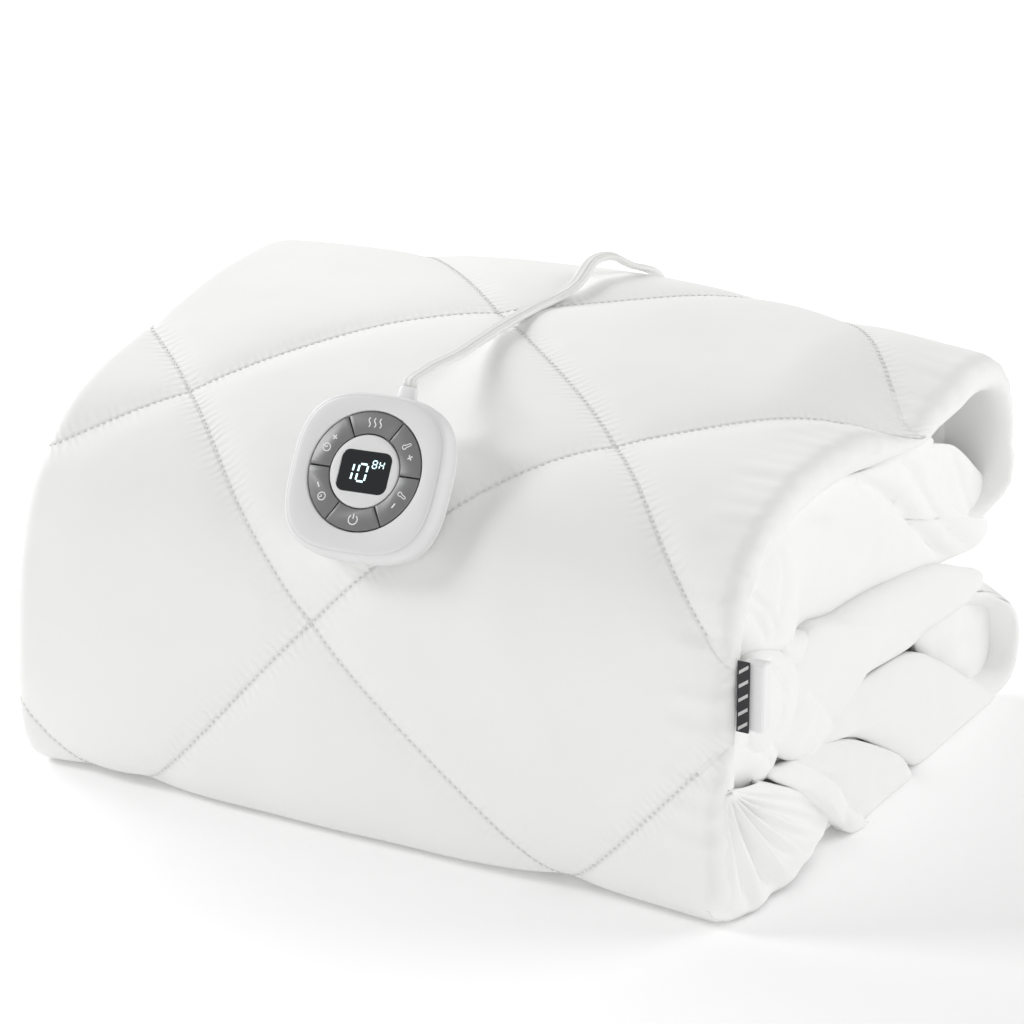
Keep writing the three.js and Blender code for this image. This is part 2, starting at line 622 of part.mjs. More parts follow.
// The origin is the middle of the bundle's footprint, on the floor
const footprint = new THREE.Box3();
for (const mesh of [...bundle.children, ...remote.children]) {
  if (mesh.isMesh && !mesh.name.startsWith("lead_")) {
    mesh.updateWorldMatrix(true, false);
    footprint.expandByObject(mesh, true);
  }
}
const middleOfFootprint = footprint.getCenter(new THREE.Vector3());
bundle.position.set(-middleOfFootprint.x, -middleOfFootprint.y, -footprint.min.z);

export default pad;
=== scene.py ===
import math

import bmesh
import bpy
import numpy as np
from mathutils import Matrix, Vector, noise


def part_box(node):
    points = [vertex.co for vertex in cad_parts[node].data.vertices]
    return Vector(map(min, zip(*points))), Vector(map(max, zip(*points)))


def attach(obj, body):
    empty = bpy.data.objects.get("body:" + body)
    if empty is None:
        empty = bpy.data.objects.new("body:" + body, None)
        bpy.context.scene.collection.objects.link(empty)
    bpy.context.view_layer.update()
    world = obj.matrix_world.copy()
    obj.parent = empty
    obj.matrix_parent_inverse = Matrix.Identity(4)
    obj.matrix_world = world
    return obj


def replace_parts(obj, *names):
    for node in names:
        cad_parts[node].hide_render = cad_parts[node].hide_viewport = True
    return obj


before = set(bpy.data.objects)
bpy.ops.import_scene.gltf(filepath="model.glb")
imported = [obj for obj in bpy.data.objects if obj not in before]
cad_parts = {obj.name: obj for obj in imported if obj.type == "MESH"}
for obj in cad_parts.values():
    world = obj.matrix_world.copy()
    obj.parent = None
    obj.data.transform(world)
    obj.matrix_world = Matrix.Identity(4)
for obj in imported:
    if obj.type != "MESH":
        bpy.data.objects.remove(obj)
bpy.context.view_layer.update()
mm = 0.001

coilPlace = (-22, 366)  # middle of the lead's coil
coilLow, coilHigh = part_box("lead_coil")
bundlePlace = Vector([(coilLow[k] + coilHigh[k]) / 2 / mm - coilPlace[k] for k in range(2)] + [0])


# a point of the tables, in the frame and in metres
def place(point):
    return (Vector(point) + bundlePlace) * mm


# an array of such points
def placeAll(points):
    return (points + np.array(bundlePlace)) * mm


# an sRGB hex colour as linear RGBA
def linear(hexCode):
    parts = [int(hexCode[k : k + 2], 16) / 255 for k in (1, 3, 5)]
    return [v / 12.92 if v <= 0.04045 else ((v + 0.055) / 1.055) ** 2.4 for v in parts] + [1]


# 0 up to low, 1 from high on, and a soft change between
def smooth(low, high, v):
    t = np.clip((np.asarray(v, float) - low) / (high - low), 0, 1)
    return t * t * (3 - 2 * t)


# the smooth line through one column of a table, at places counted in rows
def throughRows(values, places):
    v = np.array(values, float)
    v = np.concatenate([[2 * v[0] - v[1]], v, [2 * v[-1] - v[-2]]])
    places = np.asarray(places, float)
    k = np.minimum(places.astype(int), len(values) - 2)
    t = (places - k).reshape([-1] + [1] * (v.ndim - 1))
    a, b, c, d = v[k], v[k + 1], v[k + 2], v[k + 3]
    curve = (2 * a - 5 * b + 4 * c - d) * t**2 + (3 * b - a - 3 * c + d) * t**3
    return 0.5 * (2 * b + (c - a) * t + curve)


# points a step apart on the smooth line through the given ones
def throughPoints(points, step):
    fine = throughRows([list(p) for p in points], np.linspace(0, len(points) - 1, len(points) * 24))
    along = np.concatenate([[0], np.cumsum(np.linalg.norm(np.diff(fine, axis=0), axis=1))])
    wanted = np.linspace(0, along[-1], max(int(along[-1] / step), 2))
    return np.stack([np.interp(wanted, along, column) for column in fine.T], axis=1)


# points evenly spaced on the smooth closed line round the given ones
def roundPoints(points, count):
    closed = [*points[-2:], *points, *points[:2]]
    fine = throughRows(closed, np.linspace(2, len(points) + 2, len(points) * 24))
    along = np.concatenate([[0], np.cumsum(np.linalg.norm(np.diff(fine, axis=0), axis=1))])
    wanted = np.arange(count) / count * along[-1]
    return np.stack([np.interp(wanted, along, column) for column in fine.T], axis=1)


# the photo's view
view = {
    "azimuth": 27.9,
    "elevation": 22.3,
    "lens": 158.2,
    "sensor": 36,
    "farthest": 20,  # metres
    "place": (954.1, -1660.2, 951.5),
}


def addCamera():
    data = bpy.data.cameras.new("camera")
    data.sensor_width = view["sensor"]
    data.lens = view["lens"]
    data.clip_end = view["farthest"]
    camera = bpy.data.objects.new("camera", data)
    bpy.context.scene.collection.objects.link(camera)
    camera.location = place(view["place"])
    down, turn = math.radians(90 - view["elevation"]), math.radians(view["azimuth"])
    camera.rotation_euler = (down, 0, turn)
    bpy.context.scene.camera = camera


addCamera()


# a node with its settings, and links into its inputs
def addNode(material, kind, settings=None, **inputs):
    node = material.node_tree.nodes.new(kind)
    for name, value in (settings or {}).items():
        setattr(node, name, value)
    for name, value in inputs.items():
        numbered = name[0] == "n" and name[1:].isdigit()
        socket = node.inputs[int(name[1:]) if numbered else name.replace("_", " ")]
        if isinstance(value, bpy.types.NodeSocket):
            material.node_tree.links.new(value, socket)
        else:
            socket.default_value = value
    return node


# a material in one colour, with other inputs of its shader
def finish(name, hexCode, **sockets):
    material = bpy.data.materials.new(name)
    material.use_nodes = True
    shader = material.node_tree.nodes["Principled BSDF"]
    shader.inputs["Base Color"].default_value = linear(hexCode)
    for socket, value in sockets.items():
        shader.inputs[socket.replace("_", " ")].default_value = value
    return material


# adds a bump over the ones that the material has; height is in millimetres
def bump(material, source, height):
    shader = material.node_tree.nodes["Principled BSDF"]
    before = [link.from_socket for link in shader.inputs["Normal"].links]
    node = addNode(material, "ShaderNodeBump", Height=source, Distance=height * mm)
    if before:
        material.node_tree.links.new(before[0], node.inputs["Normal"])
    material.node_tree.links.new(node.outputs["Normal"], shader.inputs["Normal"])


# noise on the piece; size is in millimetres
def grain(material, size, detail):
    spots = addNode(material, "ShaderNodeTexCoord").outputs["Object"]
    scale = 1 / (size * mm)
    noiseNode = addNode(material, "ShaderNodeTexNoise", Vector=spots, Scale=scale, Detail=detail)
    return noiseNode.outputs["Fac"]


# a soft change between two close colours, in patches of the given size
def mottle(material, first, second, size):
    share = grain(material, size, 2)
    ends = {"n6": linear(first), "n7": linear(second)}
    colours = addNode(material, "ShaderNodeMix", {"data_type": "RGBA"}, n0=share, **ends)
    shader = material.node_tree.nodes["Principled BSDF"]
    material.node_tree.links.new(colours.outputs[2], shader.inputs["Base Color"])


# brushed microfibre over fibre fill: dull white with a faint bloom, fine nap and soft unevenness
shellCloth = finish(
    "brushed_microfibre", "#f2f2f1", Roughness=0.93, Specular_IOR_Level=0.2, Sheen_Weight=0.12
)
mottle(shellCloth, "#f4f4f3", "#eeeeed", 70)
bump(shellCloth, grain(shellCloth, 1.1, 2), 0.045)
bump(shellCloth, grain(shellCloth, 34, 2), 1.1)

# thin polyester knit of the skirt: smoother than the shell, with small soft creases
skirtKnit = finish(
    "polyester_knit", "#f5f5f4", Roughness=0.85, Specular_IOR_Level=0.25, Sheen_Weight=0.1
)
mottle(skirtKnit, "#f6f6f5", "#f0f0ef", 40)
bump(skirtKnit, grain(skirtKnit, 0.8, 1), 0.03)
bump(skirtKnit, grain(skirtKnit, 16, 2), 0.7)

# polyester sewing thread, a shade darker than the cloth it sinks into
thread = finish("polyester_thread", "#dcdcda", Roughness=0.7)
bump(thread, grain(thread, 0.5, 1), 0.05)

# moulded ABS, fine spark-eroded grain: a soft broad highlight
whiteAbs = finish("moulded_abs", "#efefef", Roughness=0.42, Specular_IOR_Level=0.4)
bump(whiteAbs, grain(whiteAbs, 0.5, 1), 0.008)
faceAbs = finish("controller_face_abs", "#e4e4e4", Roughness=0.46, Specular_IOR_Level=0.35)
bump(faceAbs, grain(faceAbs, 0.5, 1), 0.008)
# grey keypad plastic with a little metal flake: a tighter sheen than the housing's
keyPlastic = finish(
    "grey_keypad_plastic", "#838384", Roughness=0.36, Specular_IOR_Level=0.5, Metallic=0.25
)
bump(keyPlastic, grain(keyPlastic, 0.5, 1), 0.008)
# pad-printed white ink on the keys: thin, even and satin
printInk = finish("white_pad_print", "#f4f4f4", Roughness=0.5)
bump(printInk, grain(printInk, 0.4, 1), 0.005)

# smoked acrylic over the display: nearly black, with a hard clear gloss
acrylic = finish("smoked_acrylic", "#0b0f14", Roughness=0.1, Coat_Weight=0.6, Coat_Roughness=0.04)
bump(acrylic, grain(acrylic, 6, 1), 0.004)
# lit bars behind the acrylic: a pale blue glow
litSegment = finish(
    "lit_segment", "#dff6fb", Emission_Color=linear("#c9f2fb"), Emission_Strength=1.6
)

# extruded PVC of the lead: satin, a little waxy
vinyl = finish("extruded_pvc", "#f0f0ee", Roughness=0.42, Specular_IOR_Level=0.45)
bump(vinyl, grain(vinyl, 2.5, 1), 0.02)

# woven satin label: dull, with light weft bands on a dark ground; the dark ground is partly the
# label's dark print and partly painted shade of the slot that it sits in
labelPrintAndShade = finish("woven_label_dark_print_and_painted_shade", "#38383a", Roughness=0.9)
bump(labelPrintAndShade, grain(labelPrintAndShade, 0.6, 1), 0.05)
labelLight = finish("woven_label_light", "#c9c9c8", Roughness=0.9)
bump(labelLight, grain(labelLight, 0.6, 1), 0.05)


# the bmesh as an object at the origin
def addObject(name, bm, material, rounded=True):
    bmesh.ops.recalc_face_normals(bm, faces=bm.faces)
    for face in bm.faces:
        face.smooth = rounded
    mesh = bpy.data.meshes.new(name)
    bm.to_mesh(mesh)
    bm.free()
    mesh.materials.append(material)
    thing = bpy.data.objects.new(name, mesh)
    bpy.context.scene.collection.objects.link(thing)
    return thing


# the same as a piece that rides on a body
def addPiece(name, bm, material, body="folded_pad", rounded=True):
    thing = addObject(name, bm, material, rounded)
    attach(thing, body)
    return thing


# a grid bent over points [row, column, xyz] in metres; wrap joins its last column to the first,
# and marks gives each point a place on the cloth, kept as a UV map
def gridOf(points, wrap=False, marks=None):
    if wrap:
        points = np.concatenate([points, points[:, :1]], axis=1)
        marks = None if marks is None else np.concatenate([marks, marks[:, :1]], axis=1)
    rows, columns = points.shape[:2]
    bm = bmesh.new()
    bmesh.ops.create_grid(bm, x_segments=columns - 1, y_segments=rows - 1, size=0.5)
    spots = {}
    for vert in bm.verts:
        spot = round((vert.co.y + 0.5) * (rows - 1)), round((vert.co.x + 0.5) * (columns - 1))
        spots[vert] = spot
        vert.co = points[spot]
    if marks is not None:
        layer = bm.loops.layers.uv.new("seams")
        for face in bm.faces:
            for loop in face.loops:
                loop[layer].uv = marks[spots[loop.vert]]
    return bm


# joins points that coincide; distance is in metres
def weld(bm, distance=1e-6):
    bmesh.ops.remove_doubles(bm, verts=bm.verts, dist=distance)
    bmesh.ops.dissolve_degenerate(bm, edges=bm.edges, dist=1e-7)


# controller's place: the middle of its ring on the face, +Z out of the face
remote = {
    "centre": (-3.9, 3.7, 184.9),
    "azimuth": 0.4,
    "elevation": 34.4,
    "roll": 2.8,
    "half": 39.5,
    "ringDrop": 1.5,
    "height": 20,
    "wellRadius": 29,
    "wellFloor": -5,
    "discRadius": 17.4,
    "squareness": 3.1,
}


def remoteMatrix():
    azimuth, elevation = math.radians(remote["azimuth"]), math.radians(remote["elevation"])
    sideways, forwards = math.sin(azimuth), -math.cos(azimuth)
    level = math.cos(elevation)
    normal = Vector((sideways * level, forwards * level, math.sin(elevation)))
    roll = Matrix.Rotation(math.radians(remote["roll"]), 3, normal)
    across = roll @ Vector((-forwards, sideways, 0))
    turn = Matrix((across, normal.cross(across), normal)).transposed().to_4x4()
    return Matrix.Translation(place(remote["centre"])) @ turn @ Matrix.Scale(mm, 4)


onRemote = remoteMatrix()

# a limp flat three-core lead, its unseen length in a coil behind the bundle
lead = {
    "width": 7.4,
    "height": 3.3,
    "exit": (7, 44.7, -12.5),  # on the controller, from the ring's middle
    "straight": 3,
    "turnRadius": 36,
    "turnStep": 7.1,
    "turns": 3,
    "perTurn": 24,  # points
    "layers": (1.75, 5.2),
    "swing": 6.5,  # how far out the first and the last turn swing
    "step": 3.0,
    "steep": (0.45, 0.95),  # slopes between which its flat side turns to the back
}
leadRoute = [
    (-0.6, 54.9, 216.8), (-3.4, 67.9, 214.8), (-4.8, 80.2, 212.9), (-5.4, 94.2, 211.3),
    (-6.4, 106, 210.3), (-7.8, 118.7, 209.5), (-8.4, 130, 209), (-9.1, 141.4, 208.6),
    (-9.4, 152.4, 208.1), (-9.4, 162.7, 207.9), (-8.6, 171.8, 207.9), (-8, 181, 207.9),
    (-6.5, 188.8, 208), (-4.6, 195.8, 208.6), (-1.8, 201, 210.1), (0, 205.5, 211.8),
    (0.4, 211.5, 213.5), (-0.6, 218.7, 215.1), (-1.5, 225.6, 216.7), (-1.2, 231.3, 218),
    (0.6, 236.1, 218.6), (2.9, 240.6, 218), (5.6, 244.4, 216.2), (8, 248.2, 213),
    (9.6, 254.5, 209.6), (9.4, 264, 205.8), (8.4, 275, 201), (7.6, 285.3, 194.6),
    (7.2, 293, 184.5), (7.8, 296.3, 168), (8.6, 297.8, 150), (9.6, 299.8, 128), (10.8, 302.8, 102),
    (12.4, 306.8, 72), (15, 311, 45), (19, 314.5, 22), (23, 319, 8), (26.2, 329, 2.4),
    (27, 345, 1.9), (27, 362, 1.9),
]
tailRoute = [(-71.8, 352, 1.9), (-76, 341, 1.9), (-85.6, 335, 3.2), (-92, 332.4, 4.3)]


def leadPath():
    exits = [Vector(lead["exit"]), Vector(lead["exit"]) + Vector((0, lead["straight"], 0))]
    points = [tuple((onRemote @ spot) / mm - bundlePlace) for spot in exits] + list(leadRoute)
    perTurn, step = lead["perTurn"], lead["turnStep"]
    outer, inner = lead["turnRadius"] + step, lead["turnRadius"] - step
    low, high = lead["layers"]

    def coilSpot(k, radius, height):
        angle = 2 * math.pi * k / perTurn
        x, y = coilPlace[0] + radius * math.cos(angle), coilPlace[1] + radius * math.sin(angle)
        return (x, y, float(height))

    count = lead["turns"] * perTurn
    for k in range(1, count + 1):
        share = k / count
        radius = outer + (inner - outer) * smooth(0.1, 1, share)
        radius = radius + lead["swing"] * (1 - smooth(0, 0.16, share))
        points.append(coilSpot(k, radius, low))
    back = int((lead["turns"] - 0.5) * perTurn)
    for k in range(1, back + 1):
        share = k / back
        radius = inner + (outer - inner) * smooth(0, 0.85, share)
        radius = radius + lead["swing"] * smooth(0.86, 1, share)
        height = low + (high - low) * smooth(0, 0.08, share) * (1 - smooth(0.88, 0.99, share))
        points.append(coilSpot(k, radius, height))
    return throughPoints(points + tailRoute, lead["step"])


# the flat lead's outline: three round cores side by side with grooves between them
def ribbonSection():
    radius = lead["height"] / 2
    offset = (lead["width"] - lead["height"]) / 2
    groove = (offset / 2, radius * 0.66)

    def arc(middle, degrees):
        return [(middle + radius * math.cos(a), radius * math.sin(a)) for a in np.radians(degrees)]

    u, v = groove
    over = arc(offset, range(-90, 91, 30)) + [(u, v)] + arc(0, (65, 90, 115)) + [(-u, v)]
    under = arc(-offset, range(90, 271, 30)) + [(-u, -v)] + arc(0, (245, 270, 295)) + [(u, -v)]
    return over + under


def addLead():
    path = leadPath()
    section = ribbonSection()
    tangents = np.gradient(path, axis=0)
    tangents /= np.linalg.norm(tangents, axis=1)[:, None]
    steep = smooth(*lead["steep"], np.abs(tangents[:, 2]))[:, None]
    outwards = np.stack([0 * steep[:, 0], -np.sign(tangents[:, 2]), 0 * steep[:, 0]], axis=1)
    up = np.array([0, 0, 1.0]) * (1 - steep) + outwards * steep
    across = np.cross(tangents, up)
    across /= np.linalg.norm(across, axis=1)[:, None]
    over = np.cross(across, tangents)
    rings = np.stack([path + across * u + over * v for u, v in section], axis=1)
    spots = placeAll(path)
    bm = gridOf(placeAll(rings), wrap=True)
    weld(bm)
    bmesh.ops.holes_fill(bm, edges=[e for e in bm.edges if e.is_boundary])
    cord = addPiece("flat_lead", bm, vinyl)
    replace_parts(cord, "lead_run", "lead_coil", "lead_tail")
    length = float(np.linalg.norm(np.diff(spots, axis=0), axis=1).sum())
    print(f"lead: {length:.3f} m")
    return cord, spots, length


cord, cordSpots, cordLength = addLead()


# lofts rings given on the controller into a closed piece
def onController(name, rings, material, body="folded_pad"):
    spots = np.array([[list(onRemote @ Vector(p)) for p in ring] for ring in rings])
    bm = gridOf(spots, wrap=True)
    weld(bm)
    bmesh.ops.holes_fill(bm, edges=[e for e in bm.edges if e.is_boundary])
    return addPiece(name, bm, material, body)


# flat collar round the lead where it leaves the housing's top edge
collar = {
    "width": 9.8,
    "height": 5.4,
    "from": 36.8,
    "to": 44.4,
    "middle": (7, -12.5),
    "taper": ((0, 1), (0.35, 1), (0.8, 0.92), (0.97, 0.84), (1, 0.76)),  # share of length, size
    "round": (0.55, 0.7),  # 1 is an oval, less is squarer
    "points": 32,
}


def addCollar():
    rings = []
    first, second = collar["round"]
    for share, size in collar["taper"]:
        y = collar["from"] + (collar["to"] - collar["from"]) * share
        w, h = collar["width"] / 2 * size, collar["height"] / 2 * size
        ring = []
        for k in range(collar["points"]):
            angle = 2 * math.pi * k / collar["points"]
            c, s = math.cos(angle), math.sin(angle)
            u, v = math.copysign(abs(c) ** first, c) * w, math.copysign(abs(s) ** second, s) * h
            ring.append((collar["middle"][0] + u, y, collar["middle"][1] + v))
        rings.append(ring)
    thing = onController("lead_collar", rings, whiteAbs)
    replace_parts(thing, "cord_bush")
    return thing


leadCollar = addCollar()
for name in ("lead_plug", "inlet_block", "inlet_lip"):
    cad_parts[name].data.materials.clear()
    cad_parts[name].data.materials.append(whiteAbs)
print("camera and lead are in place")

# Middle line of the folded pad from the edge tucked inside the upper half to the one tucked inside
# the lower half, part by part: (y, z) at the left end, (y, z) at the right end, half the thickness,
# x where the layer ends (left, right), share of the top's crown
foldParts = {
    "upper tail": [
        ((216, 155), (216, 155), 5, (-200, 174), 0.6),
        ((196, 157), (196, 157), 9, (-201, 174), 0.6),
        ((156, 156), (156, 157), 11, (-202, 174), 0.6),
        ((118, 153), (104, 157), 11, (-202, 174), 0.5),
        ((88, 147), (64, 156), 10, (-202, 174), 0.3),
    ],
    "upper front": [
        ((67, 139), (44, 149), 7.5, (-202, 174), 0.2),
        ((62, 130.5), (36, 140.5), 6, (-202, 174), 0.1),
        ((70, 122.5), (44, 131.5), 6.5, (-202, 175), 0),
    ],
    "under layer": [
        ((96, 119), (72, 127.5), 8.5, (-202, 176), 0),
        ((136, 118), (128, 122), 9, (-202, 178), 0),
        ((170, 115), (168, 116), 9, (-201, 180), 0),
        ((212, 111), (215, 110.5), 9, (-200, 181), 0),
        ((244, 107), (246, 105.5), 8, (-200, 185), 0),
    ],
    "upper back": [
        ((268, 106.5), (271, 103.5), 6, (-199, 193), 0),
        ((282, 118.5), (286, 116.5), 5, (-200, 203), 0),
        ((286, 140), (287, 138.5), 5, (-200, 203), 0.2),
        ((283, 163), (283, 160.5), 6.5, (-200, 203), 0.6),
        ((269, 178.5), (269, 176.5), 8.5, (-199, 203), 0.9),
    ],
    "top": [
        ((240, 185.5), (240, 184.5), 10.5, (-198, 202), 1),
        ((196, 186), (190, 184.5), 11, (-197, 198), 1),
        ((143, 182.5), (141, 184.5), 11, (-196, 193), 0.9),
        ((93, 176.5), (95, 184), 11, (-195, 189), 0.5),
    ],
    "front corner": [
        ((55, 167), (58, 181), 11, (-195, 188), 0.3),
        ((32, 153.5), (34, 174.5), 11, (-195, 188), 0.15),
        ((15.5, 135), (15, 162), 11, (-195, 188), 0),
    ],
    "front": [
        ((6.5, 109), (4.5, 143), 11, (-195, 188), 0),
        ((2, 82), (-0.5, 116), 11, (-195, 188), 0),
        ((-0.5, 57), (-3.5, 85), 11, (-195, 189), 0),
        ((-2, 34), (-5.5, 50), 11, (-195, 189), 0),
    ],
    "lower corner": [
        ((-0.5, 15), (-4, 19), 10.5, (-193, 190), 0),
        ((8, 8.5), (7, 8.5), 10, (-192, 190), 0),
    ],
    "floor layer": [
        ((46, 8), (44, 8), 9.5, (-193, 191), 0),
        ((100, 8.5), (95, 8.5), 9.5, (-194, 192), 0),
        ((136, 7.2), (134, 7.2), 8, (-195, 195), 0),
    ],
    "lower roll": [
        ((155, 6.5), (155, 6.5), 6, (-195, 196), 0),
        ((162, 12.8), (162, 12.8), 4.8, (-196, 196), 0),
        ((153, 19), (153, 19), 5, (-196, 195), 0),
        ((128, 26.5), (128, 26.5), 7.5, (-197, 192), 0),
        ((100, 35.5), (100, 36), 8.5, (-198, 189), 0),
        ((76, 43), (72, 44.5), 7.5, (-198, 187), 0),
    ],
    "lower front": [
        ((61, 49), (56, 51), 5.5, (-199, 186), 0),
        ((58, 55.5), (53, 57.5), 4.5, (-199, 186), 0),
        ((66, 60.5), (61, 62), 4.5, (-199, 186), 0),
    ],
    "lower layer": [
        ((84, 60), (84, 60.5), 5.5, (-199, 187), 0),
        ((110, 56), (110, 56.5), 8.5, (-200, 189), 0),
        ((142, 49), (142, 49.5), 13, (-200, 190), 0),
        ((178, 36), (178, 36), 18, (-200, 191), 0),
        ((214, 21), (214, 21), 16, (-200, 193), 0),
        ((246, 10.4), (247, 10.2), 11, (-199, 197), 0),
    ],
    "lower back": [
        ((271, 6.8), (275, 6.3), 7.5, (-199, 202), 0),
        ((288, 13), (293, 11), 6.5, (-199, 206), 0),
        ((295, 28), (300.5, 26), 6.5, (-199, 206), 0),
        ((291, 45), (296.5, 44), 6.5, (-199, 205), 0),
        ((277, 59.5), (281, 57.5), 7.5, (-199, 200), 0),
    ],
    "middle layer": [
        ((252, 70), (255, 69), 11, (-199, 195), 0),
        ((220, 78), (222, 78), 14.5, (-200, 191), 0),
        ((180, 85), (180, 84.5), 17, (-200, 189), 0),
        ((140, 88), (140, 88.5), 17.5, (-201, 188), 0),
        ((108, 88), (104, 89.5), 16.5, (-201, 187), 0),
    ],
    "lower tail": [
        ((86, 87), (80, 88.5), 13, (-201, 186), 0),
        ((74, 85), (67, 86), 7, (-200, 185), 0),
    ],
}
foldRows = [(part, *row) for part, rows in foldParts.items() for row in rows]
foldNames, foldLeft, foldRight, foldHalf, foldReach, foldRise = zip(*foldRows)
shownParts = ("top", "front corner", "front", "lower corner", "upper back")
pad = {
    "length": 398,
    "crown": 14,
    "crownAt": 35,
    "crownSpan": 500,
    "stepShown": 2.6,
    "stepHidden": 9,
    "stations": 150,
    "rim": 10,  # how far the rounding of a hem reaches in
    "rimSteps": 9,
    "level": 102,  # height on the front from which the way up the cloth is counted
    "dent": 1.6,  # under the controller
    "droop": 13,  # of the top's right end
    "droopFrom": (130, 196),
    "droopAt": (180, 50),  # y of its middle, and its width
    "ragged": 1.6,  # how uneven the right hem is
    "uneven": (0.8, 55),  # height and size of the soft swells
    "crumple": (1.5, 8, 60),  # height and size of the creases along the hem
    "crumpleFrom": (60, 12),
    "crumpleTo": (40, 20),
    "dentWide": 33,
}
# the diamond quilting: crossings on the cloth, x, way up the cloth, and the numbers of the two
# seams that cross there
crossings = [
    (-29, 107, 0, 0),
    (91, 240, 1, 0),
    (105, -1, 0, 1),
    (-136, 220, 0, -1),
    (-27, 342, 1, -1),
    (205, 110, 1, 1),
    (198, 342, 2, 0),
    (-86, 295, 0.54, -1),
    (31, 384, 1.43, -1),
    (-126, -3, -0.88, 0),
    (145, 410, 2, -0.55),
]
quilt = {
    "along": 240,
    "across": 232,
    "x": -29,
    "up": 107,
    "pull": 110,
    "depth": 0.6,  # share of half the thickness
    "wide": 21,
    "wideShare": 0.34,
    "tight": 8,
    "tightShare": 0.24,
}
pitch = 1 / math.hypot(1 / quilt["along"], 1 / quilt["across"])


# numbers of the two seams at a place on the cloth, before the pull
def regular(x, up):
    along = (x - quilt["x"]) / quilt["along"]
    across = (up - quilt["up"]) / quilt["across"]
    return along + across, along - across


# weights of a soft pull that brings the regular diamonds onto the crossings
def fitPull():
    spots = np.array([c[:2] for c in crossings], float)
    wanted = np.array([c[2:] for c in crossings], float)
    plain = np.stack(regular(spots[:, 0], spots[:, 1]), axis=1)
    apart = np.linalg.norm(spots[:, None] - spots[None], axis=2)
    return spots, np.linalg.solve(np.exp(-((apart / quilt["pull"]) ** 2)), wanted - plain)


pullSpots, pullWeights = fitPull()


def seamNumbers(x, up):
    x, up = np.asarray(x, float), np.asarray(up, float)
    first, second = regular(x, up)
    for (px, pup), (wa, wb) in zip(pullSpots, pullWeights):
        near = np.exp(-(((x - px) ** 2 + (up - pup) ** 2) / quilt["pull"] ** 2))
        first = first + wa * near
        second = second + wb * near
    return first, second


# in millimetres: how far the puckers reach, how wide the thread sinks in, one pucker's length, the
# share of a pucker's height in the thread's, the whole height, and how the puckers wander
relief = {
    "reach": 6.5,
    "thread": 1.1,
    "pucker": 4.6,
    "share": 0.3,
    "height": 0.55,
    "wander": (9, 7),
}


# the relief beside one seam, step by step: a step's name, what it does, and the two values that it
# does it to. "here" counts the seams across it, "other" along it
reliefSteps = [
    ("folded", "PINGPONG", "here", 0.5),
    ("away", "MULTIPLY", "folded", pitch),
    # 1 at the seam, falling off over the reach of the puckers
    ("near", "DIVIDE", "away", relief["reach"]),
    ("near", "POWER", "near", 1.4),
    ("near", "MULTIPLY", "near", -1),
    ("near", "EXPONENT", "near", 0),
    # the same over the width of the thread
    ("line", "DIVIDE", "away", relief["thread"]),
    ("line", "POWER", "line", 2),
    ("line", "MULTIPLY", "line", -1),
    ("line", "EXPONENT", "line", 0),
    ("wander", "MULTIPLY", "soft", relief["wander"][1]),
    ("puckers", "MULTIPLY", "other", pitch * 2 * math.pi / relief["pucker"]),
    ("puckers", "ADD", "puckers", "wander"),
    ("puckers", "SINE", "puckers", 0),
    ("puckers", "MULTIPLY", "puckers", "near"),
    ("puckers", "MULTIPLY", "puckers", relief["share"]),
    ("both", "SUBTRACT", "puckers", "line"),
    ("total", "ADD", "total", "both"),
]


# fine puckers along the seams and the thread line itself, too small for the mesh
def addSeamRelief(material):
    spots = addNode(material, "ShaderNodeUVMap", {"uv_map": "seams"}).outputs["UV"]
    first, second = addNode(material, "ShaderNodeSeparateXYZ", Vector=spots).outputs[:2]
    soft = grain(material, relief["wander"][0], 1)
    sums = {"total": 0}
    for here, other in ((first, second), (second, first)):
        sums.update(here=here, other=other, soft=soft)
        for name, operation, one, two in reliefSteps:
            inputs = {"n0": sums.get(one, one), "n1": sums.get(two, two)}
            node = addNode(material, "ShaderNodeMath", {"operation": operation}, **inputs)
            sums[name] = node.outputs[0]
    bump(material, sums["total"], relief["height"])


quiltedCloth = shellCloth.copy()
quiltedCloth.name = "quilted_microfibre"
addSeamRelief(quiltedCloth)


# middle line and outward direction of the folded pad at one x
def clothSection(x, places):
    share = x / pad["length"] + 0.5
    rise = pad["crown"] * np.cos(math.pi * (x - pad["crownAt"]) / pad["crownSpan"]) ** 2
    left, right = throughRows(foldLeft, places), throughRows(foldRight, places)
    y = left[:, 0] * (1 - share) + right[:, 0] * share
    z = left[:, 1] * (1 - share) + right[:, 1] * share
    fromTop = throughRows(foldRise, places)
    middle, wide = pad["droopAt"]
    droop = pad["droop"] * smooth(*pad["droopFrom"], x) * np.exp(-(((y - middle) / wide) ** 2))
    z = z + (rise - droop) * fromTop
    dy, dz = np.gradient(y), np.gradient(z)
    size = np.hypot(dy, dz)
    return y, z, dz / size, -dy / size


def foldPlaces():
    places, shown = [], []
    for k in range(len(foldRows) - 1):
        span = math.dist(foldRight[k], foldRight[k + 1])
        seen = foldNames[k] in shownParts
        steps = max(math.ceil(span / pad["stepShown" if seen else "stepHidden"]), 2)
        places += [k + s / steps for s in range(steps)]
        shown += [seen] * steps
    return np.array(places + [len(foldRows) - 1.0]), np.array(shown + [False])


# how far the stitching draws the cloth in
def grooves(x, up):
    kept = 1.0
    for number in seamNumbers(x, up):
        away = np.abs(number - np.round(number)) * pitch
        wide = quilt["wideShare"] * np.exp(-((away / quilt["wide"]) ** 1.3))
        tight = quilt["tightShare"] * np.exp(-((away / quilt["tight"]) ** 1.6))
        kept = kept * (1 - wide - tight)
    return 1 - kept


